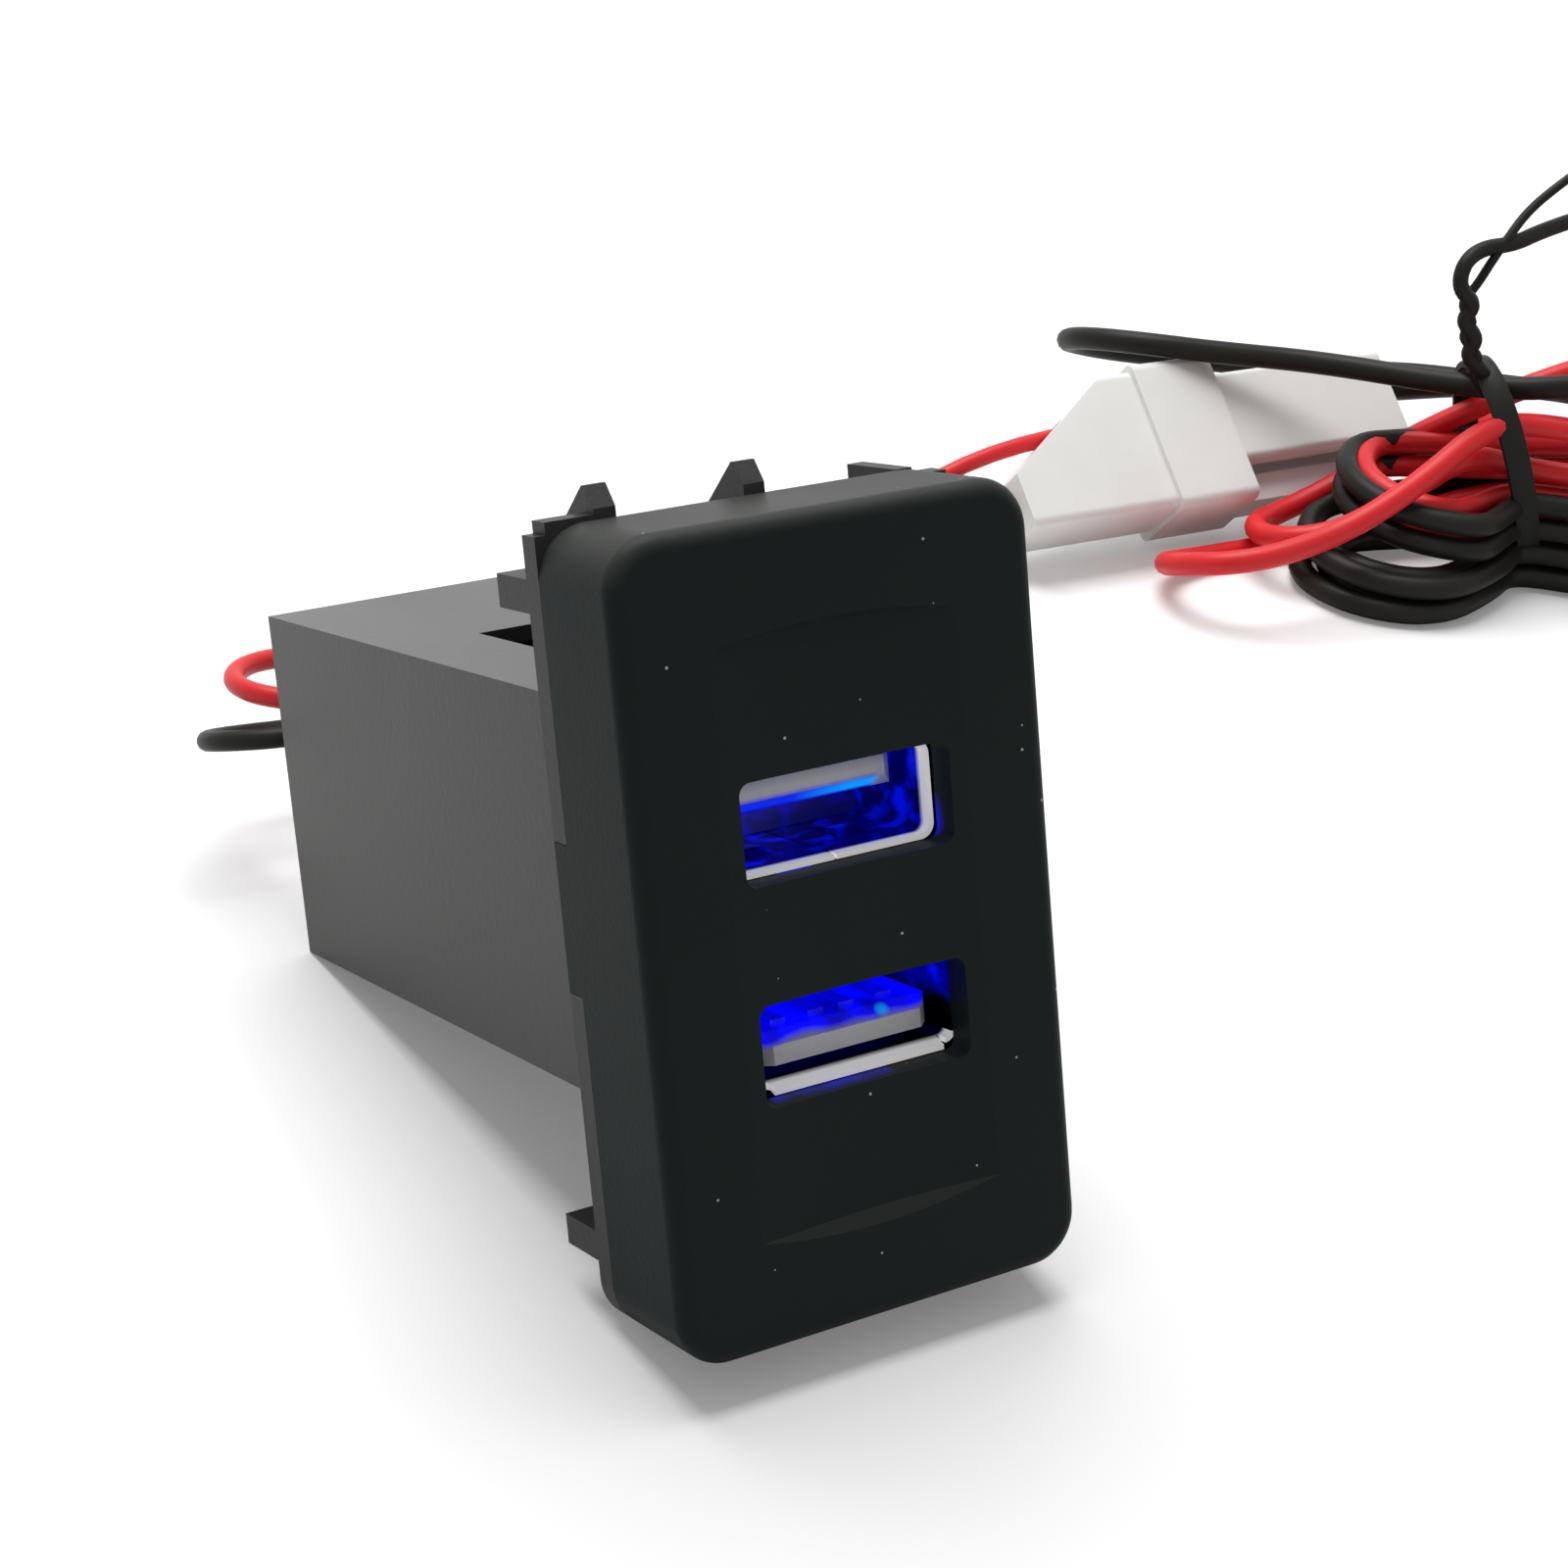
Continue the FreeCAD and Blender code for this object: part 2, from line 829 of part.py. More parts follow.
def insulator_shape(port, front_place):
    """Rear block with the tongue above its middle, contact slots through it, and a bevel on the tongue's nose."""
    gauge, gap = size("shell_sheet"), size("fit_gap")
    width = size("shell_width") - 2 * gauge - 2 * gap
    height = size("shell_height") - 2 * gauge - 2 * gap
    rear = size("front_board_place") - port_frame(port).y
    block = rounded_sleeve(width, height, size("shell_round") - gauge, size("insulator_depth"))
    block.translate(Vector(0, rear - size("insulator_depth"), 0))
    nose = -front_place - port_frame(port).y
    thickness, bevel = size("tongue_thickness"), size("tongue_bevel")
    low = size("tongue_offset") - thickness / 2
    side_view = [
        Vector(0, nose, low + bevel),
        Vector(0, nose + bevel, low),
        Vector(0, rear - size("insulator_depth") + 0.5, low),
        Vector(0, rear - size("insulator_depth") + 0.5, low + thickness),
        Vector(0, nose, low + thickness),
    ]
    tongue = Part.Face(Part.makePolygon(side_view + side_view[:1])).extrude(
        Vector(size("tongue_width"), 0, 0)
    )
    tongue.translate(Vector(-size("tongue_width") / 2, 0, 0))
    nose_corners = [e for e in tongue.Edges if along(e, 2) and abs(e.CenterOfMass.y - nose) < 1e-6]
    tongue = tongue.makeChamfer(bevel, nose_corners)
    shape = block.fuse(tongue)
    for contact in contact_places():
        slot = Part.makeBox(
            size("contact_width") + 2 * gap,
            size("insulator_depth") + 1,
            size("contact_thickness") + 2 * gap,
            Vector(
                contact - size("contact_width") / 2 - gap,
                rear - size("insulator_depth") - 0.001,
                low - size("contact_thickness") - gap,
            ),
        )
        shape = shape.cut(slot)
    return shape.removeSplitter()


def contact_places():
    """The four contacts across the tongue, the outer two wider apart than the middle two."""
    return (-3.5, -1.0, 1.0, 3.5)


def contacts_shape(port, front_place):
    """Four strips under the tongue that run back through the insulator and the board as solder tails."""
    gap = size("fit_gap")
    start = -front_place - port_frame(port).y + size("contact_setback") + size("tongue_bevel")
    end = size("front_board_place") + size("board_thickness") + 0.8 - port_frame(port).y
    low = size("tongue_offset") - size("tongue_thickness") / 2
    strips = [
        Part.makeBox(
            size("contact_width"),
            end - start,
            size("contact_thickness"),
            Vector(x - size("contact_width") / 2, start, low - size("contact_thickness")),
        )
        for x in contact_places()
    ]
    return Part.makeCompound(strips)


def place_in_port(shape, port):
    """Turns a piece of the lower port over and moves it to its port."""
    placed = shape.copy()
    if PORTS[port] < 0:
        placed.rotate(Vector(0, 0, 0), Vector(0, 1, 0), 180)
    placed.translate(port_frame(port))
    return placed


contact_holes = []
for port in PORTS:
    tongue_front = size(port + "_tongue_front")
    keep("usb_shell_" + port, solid_feature("shell_" + port, place_in_port(shell_shape(port), port)))
    keep(
        "usb_tongue_" + port,
        solid_feature("tongue_" + port, place_in_port(insulator_shape(port, tongue_front), port)),
    )
    keep(
        "usb_contacts_" + port,
        solid_feature("contacts_" + port, place_in_port(contacts_shape(port, tongue_front), port)),
    )
    hole_height = size("contact_thickness") + 0.4
    for x in contact_places():
        hole = Part.makeBox(
            size("contact_width") + 0.2,
            size("board_thickness") + 2,
            hole_height,
            Vector(
                x - size("contact_width") / 2 - 0.1,
                size("front_board_place") - port_frame(port).y - 1,
                size("tongue_offset")
                - size("tongue_thickness") / 2
                - size("contact_thickness") / 2
                - hole_height / 2,
            ),
        )
        contact_holes.append(place_in_port(hole, port))

# Circuit boards: an upright one that carries both receptacles and the two light chips, and a level one whose
# nose passes through it and whose long edges rest on the housing's rails.

front_board = new_box(
    "front_board_blank",
    ("-@front_board_width / 2", "@front_board_place", "@front_board_bottom"),
    ("@front_board_width", "@board_thickness", "@front_board_height"),
)
nose_slot = new_box(
    "nose_slot",
    (
        "-@nose_width / 2 - @fit_gap",
        "@front_board_place - 1",
        "@main_board_top - @board_thickness - @fit_gap",
    ),
    ("@nose_width + 2 * @fit_gap", "@board_thickness + 2", "@board_thickness + 2 * @fit_gap"),
)
holes = solid_feature("contact_holes", Part.makeCompound(contact_holes))
slotted_board = combine("Cut", "slotted_board", front_board, nose_slot)
keep("front_board", combine("Cut", "front_board_done", slotted_board, holes))

main_plate = new_box(
    "main_plate",
    ("-@main_board_width / 2", "@main_board_start", "@main_board_top - @board_thickness"),
    ("@main_board_width", "@main_board_end - @main_board_start", "@board_thickness"),
)
main_nose = new_box(
    "main_nose",
    ("-@nose_width / 2", "@front_board_place", "@main_board_top - @board_thickness"),
    ("@nose_width", "@main_board_start - @front_board_place + 1", "@board_thickness"),
)
keep("main_board", combine("Fuse", "main_board_done", main_plate, main_nose))

for side, sign in (("left", "-"), ("right", "")):
    keep(
        "light_chip_" + side,
        new_box(
            "light_" + side,
            (
                sign + "@light_spread - @light_width / 2",
                "@front_board_place - @light_depth",
                "@light_place - @light_height / 2",
            ),
            ("@light_width", "@light_depth", "@light_height"),
        ),
    )

# Parts on the main board: a drum inductor, two capacitor cans, the converter chip with eight feet and a diode.


def revolve_profile(points):
    """A solid of revolution about Z from its half section."""
    face = Part.Face(Part.makePolygon(points + points[:1]))
    return face.revolve(Vector(0, 0, 0), Vector(0, 0, 1), 360)


radius, waist = size("inductor_radius"), size("inductor_waist")
rim, tall = size("inductor_flange"), size("inductor_height")
drum = revolve_profile(
    [
        Vector(0, 0, 0),
        Vector(radius, 0, 0),
        Vector(radius, 0, rim),
        Vector(waist + 0.5, 0, rim),
        Vector(waist + 0.5, 0, tall - rim),
        Vector(radius, 0, tall - rim),
        Vector(radius, 0, tall),
        Vector(0, 0, tall),
    ]
)
drum.translate(Vector(size("inductor_x"), size("inductor_y"), size("main_board_top")))
keep("inductor", solid_feature("inductor_drum", drum))

for can in ("input", "output"):
    radius, tall = size(can + "_can_radius"), size(can + "_can_height")
    groove = 0.25
    profile = [
        Vector(0, 0, 0),
        Vector(radius, 0, 0),
        Vector(radius, 0, 1.0),
        Vector(radius - groove, 0, 1.2),
        Vector(radius, 0, 1.4),
        Vector(radius, 0, tall - groove),
        Vector(radius - groove, 0, tall),
        Vector(0, 0, tall),
    ]
    shape = revolve_profile(profile)
    shape.translate(Vector(size(can + "_can_x"), size(can + "_can_y"), size("main_board_top")))
    keep(can + "_capacitor", solid_feature(can + "_can", shape))

chip_low = size("main_board_top") + 0.1
chip_blank = Part.makeBox(
    size("chip_width"),
    size("chip_length"),
    size("chip_height"),
    Vector(size("chip_x") - size("chip_width") / 2, size("chip_y") - size("chip_length") / 2, chip_low),
)
chip_shape = chip_blank
for side in (-1, 1):
    for row in range(4):
        along_y = size("chip_y") + (row - 1.5) * size("chip_pin_pitch")
        edge = size("chip_x") + side * size("chip_width") / 2
        foot = [
            Vector(edge, along_y, chip_low + 0.8),
            Vector(edge + side * 0.5, along_y, chip_low + 0.8),
            Vector(edge + side * 0.7, along_y, chip_low + 0.1),
            Vector(edge + side * size("chip_pin_reach"), along_y, chip_low + 0.1),
            Vector(edge + side * size("chip_pin_reach"), along_y, chip_low - 0.1),
            Vector(edge + side * 0.5, along_y, chip_low - 0.1),
            Vector(edge + side * 0.3, along_y, chip_low + 0.6),
            Vector(edge, along_y, chip_low + 0.6),
        ]
        pin = Part.Face(Part.makePolygon(foot + foot[:1])).extrude(Vector(0, size("chip_pin_width"), 0))
        pin.translate(Vector(0, -size("chip_pin_width") / 2, 0))
        chip_shape = chip_shape.fuse(pin)
keep("converter_chip", solid_feature("chip", chip_shape))

diode_body = new_box(
    "diode_body",
    ("@diode_x - @diode_length / 2", "@diode_y - @diode_width / 2", "@main_board_top"),
    ("@diode_length", "@diode_width", "@diode_height"),
)
diode_feet = new_box(
    "diode_feet",
    ("@diode_x - @diode_length / 2 - @diode_foot", "@diode_y - @diode_width / 4", "@main_board_top"),
    ("@diode_length + 2 * @diode_foot", "@diode_width / 2", "@diode_foot"),
)
keep("diode", combine("Fuse", "diode_done", diode_body, diode_feet))

# The table under the resting socket. Laid down, the socket leans back on the frame's lower rear edge and on the
# housing's lower rear edge, so the table is a plane through both. The leads and the harness lie on it. A table
# point is given as its distance across, its distance up the slope from the frame's edge and its height.

lean = math.atan2(
    size("housing_bottom") + size("bezel_height") / 2, size("housing_length") - size("frame_thickness")
)
table_origin = Vector(0, size("frame_thickness"), -size("bezel_height") / 2)
table_back = Vector(0, math.cos(lean), math.sin(lean))
table_up = Vector(0, -math.sin(lean), math.cos(lean))


def on_table(across, back, height):
    return table_origin + Vector(across, 0, 0) + table_back * back + table_up * height


def tube(name, points, diameter):
    """A lead's solid: straight runs joined by tangent arcs, swept with a round section and checked by volume."""
    edges = []
    start = points[0]
    runs = [points[i + 1] - points[i] for i in range(len(points) - 1)]
    radii = []
    for i in range(1, len(points) - 1):
        before, after = runs[i - 1], runs[i]
        turn = before.getAngle(after)
        shorter = min(before.Length, after.Length)
        bend = 0.45 * shorter / math.tan(turn / 2)
        radii.append(bend)
        cut = 0.45 * shorter
        entry = points[i] - before.normalize() * cut
        leave = points[i] + Vector(after).normalize() * cut
        runs[i] = points[i + 1] - points[i]
        inward = (leave + entry) * 0.5 - points[i]
        inward.normalize()
        middle = points[i] + inward * (bend / math.cos(turn / 2) - bend)
        edges.append(Part.LineSegment(start, entry).toShape())
        edges.append(Part.Arc(entry, middle, leave).toShape())
        start = leave
    edges.append(Part.LineSegment(start, points[-1]).toShape())
    path = Part.Wire(edges)
    ring = Part.Wire(Part.makeCircle(diameter / 2, points[0], points[1] - points[0]))
    shape = path.makePipeShell([ring], True, True)
    wanted = math.pi * diameter**2 / 4 * path.Length
    print(
        "%s: length %.1f, tightest radius %.1f, volume %.4f of section times length"
        % (name, path.Length, min(radii) if radii else 0, shape.Volume / wanted)
    )
    return shape


# Connector pair: a white two-way socket housing on the leads, with its far corner cut away towards the leads and
# a collar round its mouth, and the plug housing pushed into it on the harness. It lies on one long edge and leans
# back against a loop of the harness. Along it, 0 is the socket's lead end.

connector_axes = Rotation(Vector(1, 0, 0), math.degrees(lean))
connector_axes = connector_axes.multiply(Rotation(Vector(0, 0, 1), size("connector_turn")))
connector_axes = connector_axes.multiply(Rotation(Vector(1, 0, 0), size("connector_tilt")))
socket_width, socket_height = size("socket_width"), size("socket_height")
socket_length = size("socket_length")
split_point = on_table(size("connector_split"), size("connector_near"), 1.3)
connector_base = split_point - connector_axes.multVec(Vector(socket_length, 0, 0))
connector_place = Placement(connector_base, connector_axes)
socket_wall = size("socket_wall")
middle_y, middle_z = socket_width / 2, socket_height / 2


def terminal_rows():
    """The two ways across the connector's width."""
    return (-size("terminal_pitch") / 2, size("terminal_pitch") / 2)


def in_connector(shape):
    placed = shape.copy()
    placed.Placement = connector_place.multiply(placed.Placement)
    return placed


def connector_point(along_axis, row, shift=0.0):
    return connector_place.multVec(Vector(along_axis, middle_y + row, middle_z + shift))


def rounded_block(corner, sides, radius):
    """A block with its four long edges rounded."""
    block = Part.makeBox(sides[0], sides[1], sides[2], Vector(*corner))
    return block.makeFillet(radius, [e for e in block.Edges if along(e, 0)])


def bored(shape):
    """The two terminal ways cut right through a housing."""
    for row in terminal_rows():
        bore = Part.makeCylinder(
            size("terminal_bore") / 2, 60, Vector(-1, middle_y + row, middle_z), Vector(1, 0, 0)
        )
        shape = shape.cut(bore)
    return shape


step = size("collar_step")
socket_shape = rounded_block((0, 0, 0), (socket_length, socket_width, socket_height), 0.8)
slope_corner = [
    Vector(-1, socket_width + 1, -1),
    Vector(-1, socket_width - size("socket_slope_width"), -1),
    Vector(0, socket_width - size("socket_slope_width"), -1),
    Vector(size("socket_slope_length"), socket_width, -1),
    Vector(size("socket_slope_length"), socket_width + 1, -1),
]
slope_cut = Part.Face(Part.makePolygon(slope_corner + slope_corner[:1]))
socket_shape = socket_shape.cut(slope_cut.extrude(Vector(0, 0, socket_height + 2)))
collar = rounded_block(
    (socket_length - size("collar_length"), -step, -2 * step),
    (size("collar_length"), socket_width + 2 * step, socket_height + 3 * step),
    0.9,
)
mouth_depth = size("plug_insertion") + size("fit_gap")
socket_mouth = Part.makeBox(
    mouth_depth + 1,
    socket_width - 2 * socket_wall,
    socket_height - 2 * socket_wall,
    Vector(socket_length - mouth_depth, socket_wall, socket_wall),
)
socket_shape = bored(socket_shape.fuse(collar).removeSplitter().cut(socket_mouth))
keep("connector_socket", solid_feature("socket_housing", in_connector(socket_shape)))

plug_width, plug_height = size("plug_width"), size("plug_height")
plug_start = socket_length - size("plug_insertion")
plug_end = plug_start + size("plug_length")
nose_part = Part.makeBox(
    size("plug_insertion") + 0.5,
    plug_width,
    plug_height,
    Vector(plug_start, middle_y - plug_width / 2, middle_z - plug_height / 2),
)
grip_part = rounded_block(
    (socket_length + size("fit_gap"), size("grip_start"), middle_z - size("grip_height") / 2),
    (plug_end - socket_length - size("fit_gap"), size("grip_width"), size("grip_height")),
    0.6,
)
latch = Part.makeBox(
    size("latch_length"),
    size("latch_width"),
    size("latch_thickness"),
    Vector(socket_length + size("fit_gap"), 0.2, 0.1),
)
latch_root = Part.makeBox(
    3.0,
    size("grip_start") + 1,
    size("latch_thickness") - 1.0,
    Vector(socket_length + size("fit_gap"), 0.2, 0.6),
)
plug_shape = bored(nose_part.fuse([grip_part, latch, latch_root]).removeSplitter())
keep("connector_plug", solid_feature("plug_housing", in_connector(plug_shape)))

terminal_parts = []
tab_width, tab_thickness = size("terminal_tab_width"), size("terminal_tab_thickness")
for row in terminal_rows():
    terminal_parts.append(
        Part.makeBox(
            12,
            tab_width,
            tab_thickness,
            Vector(plug_start - 3, middle_y + row - tab_width / 2, middle_z - tab_thickness / 2),
        )
    )
keep("connector_terminals", solid_feature("terminals", in_connector(Part.makeCompound(terminal_parts))))

# Leads from the board to the connector. They leave the rear wall side by side, make a loose loop each behind the
# housing's left edge, and come down to the table on the way to the connector.

lead_diameter = size("lead_diameter")
lead_height = size("main_board_top") + lead_diameter / 2 + size("fit_gap")
lead_start = size("lead_start")
red_x, black_x = size("red_lead_place"), size("black_lead_place")
low_row, high_row = terminal_rows()
lead_lift = lead_diameter / 2 + 0.1

red_route = [
    Vector(red_x, lead_start, lead_height),
    Vector(red_x, 47.0, lead_height),
    Vector(-3.0, 50.0, 5.6),
    Vector(-7.6, 50.1, 6.2),
    Vector(-10.6, 53.1, 6.9),
    Vector(-10.6, 57.3, 7.5),
    Vector(-7.6, 60.3, 7.9),
    Vector(-2.0, 61.2, 7.4),
    Vector(5.0, 60.8, 6.3),
    Vector(11.5, 61.4, 4.9),
    on_table(19.0, 64.5, 5.4),
    on_table(27.0, 68.5, 1.8),
    on_table(36.0, 74.5, lead_lift),
    on_table(45.5, 80.0, lead_lift + 0.2),
    on_table(54.5, 84.2, 3.6),
    connector_point(-1.0, high_row - 0.1),
    connector_point(11.0, high_row),
]
black_route = [
    Vector(black_x, lead_start, lead_height),
    Vector(black_x, 47.0, 3.8),
    Vector(0.2, 50.0, 3.7),
    Vector(-4.8, 50.2, 3.9),
    Vector(-10.1, 50.1, 4.1),
    Vector(-13.1, 53.1, 4.0),
    Vector(-13.1, 57.4, 3.4),
    Vector(-10.1, 60.4, 2.8),
    Vector(-4.2, 60.3, 2.4),
    Vector(2.5, 59.8, 2.0),
    Vector(9.0, 60.1, 1.1),
    on_table(16.5, 62.0, 3.4),
    on_table(24.5, 65.0, 1.1),
    on_table(33.0, 70.0, lead_lift),
    on_table(42.5, 74.8, lead_lift),
    on_table(52.5, 78.4, lead_lift + 1.0),
    connector_point(-7.0, low_row),
    connector_point(3.0, low_row),
]
keep("lead_red", solid_feature("red_lead", tube("lead_red", red_route, lead_diameter)))
keep("lead_black", solid_feature("black_lead", tube("lead_black", black_route, lead_diameter)))

# Harness: red and black wire from the plug, folded into one hank and held by a twist tie. The hank is one closed
# solid of its outer shape: low where single loops fan out on the table, waisted at the tie and full beyond it.
# Each station is its place on the table, its width and its height.

width, height = size("hank_width"), size("hank_height")
HANK_STATIONS = [
    (89.0, 70.3, 0.36 * width, 0.25 * height),
    (99.5, 68.6, 0.56 * width, 0.60 * height),
    (113.8, 65.6, 0.78 * width, 0.97 * height),
    (131.0, 55.2, width, height),
    (150.0, 42.5, 0.95 * width, 0.92 * height),
    (162.0, 34.5, 0.6 * width, 0.5 * height),
]


def hank_section(station, grow):
    """An oval across the hank that stands on the table, square to the line between its neighbours."""
    across, back, wide, tall = HANK_STATIONS[station]
    before = HANK_STATIONS[max(station - 1, 0)]
    after = HANK_STATIONS[min(station + 1, len(HANK_STATIONS) - 1)]
    run = math.hypot(after[0] - before[0], after[1] - before[1])
    side = Vector(-(after[1] - before[1]) / run, 0, 0) + table_back * ((after[0] - before[0]) / run)
    middle = on_table(across, back, tall / 2 + 0.05)
    ring = []
    for i in range(16):
        turn = 2 * math.pi * i / 16
        sideways = side * ((wide / 2 + grow) * math.cos(turn))
        ring.append(middle + sideways + table_up * ((tall / 2 + grow) * math.sin(turn)))
    curve = Part.BSplineCurve()
    curve.interpolate(ring, PeriodicFlag=True)
    return Part.Wire(curve.toShape())


def hank_loft(grow):
    """The hank's outer shape, or the same shape grown evenly for the tie."""
    return Part.makeLoft([hank_section(i, grow) for i in range(len(HANK_STATIONS))], True, False)


keep("harness_hank", solid_feature("hank", hank_loft(0)))

harness_diameter = size("harness_diameter")
entry = 3.0
red_run = [
    connector_point(plug_end - entry, low_row),
    connector_point(plug_end + 6.0, low_row, 0.2),
    on_table(128.0, 80.8, 6.4),
    on_table(133.2, 73.8, 6.8),
    on_table(133.6, 64.0, 7.2),
]
black_run = [
    connector_point(plug_end - entry, high_row),
    connector_point(plug_end + 8.0, high_row, -1.2),
    on_table(130.5, 82.0, 9.4),
    on_table(135.2, 74.5, 10.0),
    on_table(135.8, 66.0, 10.2),
]
keep("harness_red", solid_feature("red_run", tube("harness_red", red_run, harness_diameter)))
keep("harness_black", solid_feature("black_run", tube("harness_black", black_run, harness_diameter)))

# One bight of the black wire has slipped out of the hank and lies over the connector.

bight_tip = on_table(87.7, 96.6, 14.4)
bight_axis = (on_table(117.2, 77.8, 12.8) - bight_tip).normalize()
bight_across = Vector(0.45, 0, 0) + table_back * 0.80 - table_up * 0.39
bight_across = bight_across - bight_axis * bight_across.dot(bight_axis)
bight_across.normalize()
half_loop = size("loop_width") / 2
corner_run = size("loop_width") / 2.414


def bight_point(back, across):
    return bight_tip + bight_axis * back + bight_across * across


bight_route = [
    on_table(108.8, 69.4, 16.5),
    bight_point(22.0, -half_loop + 0.1),
    bight_point(12.5, -half_loop + 0.1),
    bight_point(corner_run * 0.707, -half_loop),
    bight_point(0, -corner_run / 2),
    bight_point(0, corner_run / 2),
    bight_point(corner_run * 0.707, half_loop),
    bight_point(12.5, half_loop - 0.2),
    bight_point(21.0, half_loop + 0.2),
    on_table(113.4, 88.6, 11.4),
    on_table(118.9, 80.5, 12.3),
    on_table(122.2, 72.1, 12.5),
]
keep("harness_loop", solid_feature("loop", tube("harness_loop", bight_route, harness_diameter)))

# Twist tie: a flat band slanted round the hank's waist and a twisted stem that stands up from it, with two tails.

tie_width, tie_thickness = size("tie_width"), size("tie_thickness")
tie_gap = 0.25
tie_across, tie_back, _, tie_tall = HANK_STATIONS[2]
slab = Part.makeBox(tie_width, 60, 60, Vector(-tie_width / 2, -30, -30))
slab_axes = Rotation(Vector(1, 0, 0), math.degrees(lean))
slab_axes = slab_axes.multiply(Rotation(Vector(0, 0, 1), -25))
slab_axes = slab_axes.multiply(Rotation(Vector(0, 1, 0), -size("tie_slant")))
slab.Placement = Placement(on_table(tie_across - 0.8, tie_back, tie_tall / 2), slab_axes)
band = hank_loft(tie_gap + tie_thickness).cut(hank_loft(tie_gap)).common(slab)
slant = math.tan(math.radians(size("tie_slant"))) * tie_tall / 2


def from_tie_top(across, height_above):
    return on_table(tie_across - slant + across, tie_back, tie_tall + 0.7 + height_above)


stem_route = [
    from_tie_top(-1.0, -1.3),
    from_tie_top(-3.9, 3.1),
    from_tie_top(-5.1, 6.6),
    from_tie_top(-6.2, 9.0),
    from_tie_top(-4.3, 10.9),
    from_tie_top(-0.9, 11.4),
    from_tie_top(6.2, 12.2),
]
stem = tube("wire_tie stem", stem_route, 1.5)
tail_route = [from_tie_top(1.4, 11.66), from_tie_top(3.2, 14.2), from_tie_top(6.4, 16.8)]
tail = tube("wire_tie tail", tail_route, 0.9)
keep("wire_tie", solid_feature("tie", band.fuse([stem, tail])))

# Checks and output.

document.recompute()
for thing in document.Objects:
    if "Invalid" in thing.State or "Error" in thing.State:
        raise RuntimeError("%s failed: %s" % (thing.Name, thing.State))
for name, thing in nodes.items():
    shape = thing.Shape
    if shape.isNull() or not shape.isValid() or not shape.Solids:
        raise RuntimeError("%s has no valid solid" % name)
    print("%-20s solids %d volume %.1f" % (name, len(shape.Solids), shape.Volume))

os.makedirs("parts", exist_ok=True)
for name, thing in nodes.items():
    thing.Shape.exportStep("parts/%s.step" % name)
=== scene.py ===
import math

import bpy
from mathutils import Matrix, Vector


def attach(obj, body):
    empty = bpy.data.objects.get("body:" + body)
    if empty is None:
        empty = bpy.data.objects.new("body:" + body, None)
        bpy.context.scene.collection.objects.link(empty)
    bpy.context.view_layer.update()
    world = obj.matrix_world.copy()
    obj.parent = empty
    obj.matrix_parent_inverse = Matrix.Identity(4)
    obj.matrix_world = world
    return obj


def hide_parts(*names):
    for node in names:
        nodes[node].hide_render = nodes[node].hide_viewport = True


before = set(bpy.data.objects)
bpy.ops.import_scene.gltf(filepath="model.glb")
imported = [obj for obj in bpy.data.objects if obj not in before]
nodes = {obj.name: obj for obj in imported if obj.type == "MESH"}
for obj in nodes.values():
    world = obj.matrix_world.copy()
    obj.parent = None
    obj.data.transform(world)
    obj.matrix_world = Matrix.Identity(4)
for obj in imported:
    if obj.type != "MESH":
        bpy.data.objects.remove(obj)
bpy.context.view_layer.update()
bpy.ops.object.select_all(action="DESELECT")

# Camera. It stands in front of the socket's left edge and a little above it, near enough for strong
# perspective, and looks past the bezel to the lead and its harness at the right.
camera_right = Vector((0.85502, -0.51137, -0.08626))
camera_up = Vector((0.1866, 0.14816, 0.9712))
camera_back = Vector((-0.48387, -0.84649, 0.2221))
turned = Matrix((camera_right, camera_up, camera_back)).transposed().to_euler()
bpy.ops.object.camera_add(location=(-0.08428, -0.15022, 0.04544), rotation=turned)
camera = bpy.context.object
camera.data.angle = math.radians(28.32)
camera.data.clip_start = 0.01
bpy.context.scene.camera = camera


# Circuit boards of green glass laminate: an upright one behind the mouths and a level one through the
# housing. Copper runs show as paler green under the solder mask, with tinned pads among them.
class Socket:
    """One value in a material's nodes, so that sums of values are written as sums."""

    def __init__(self, finish, link):
        self.finish = finish
        self.link = link

    def maths(self, operation, *values):
        sockets = dict(enumerate(values))
        return self.finish.node("ShaderNodeMath", {"operation": operation}, sockets)

    def __add__(self, other):
        return self.maths("ADD", self, other)

    __radd__ = __add__

    def __sub__(self, other):
        return self.maths("SUBTRACT", self, other)

    def __rsub__(self, other):
        return self.maths("SUBTRACT", other, self)

    def __mul__(self, other):
        return self.maths("MULTIPLY", self, other)

    __rmul__ = __mul__

    def __gt__(self, other):
        return self.maths("GREATER_THAN", self, other)

    def __lt__(self, other):
        return self.maths("LESS_THAN", self, other)

    def most(self, other):
        return self.maths("MAXIMUM", self, other)

    def within(self, low, high):
        """1 between two values and 0 outside them."""
        return (self > low) * (self < high)

    def fade(self, low, high):
        """0 at one value and 1 at the other, with a straight slope between."""
        settings = {"clamp": True}
        return self.finish.node("ShaderNodeMapRange", settings, {0: self, 1: low, 2: high})


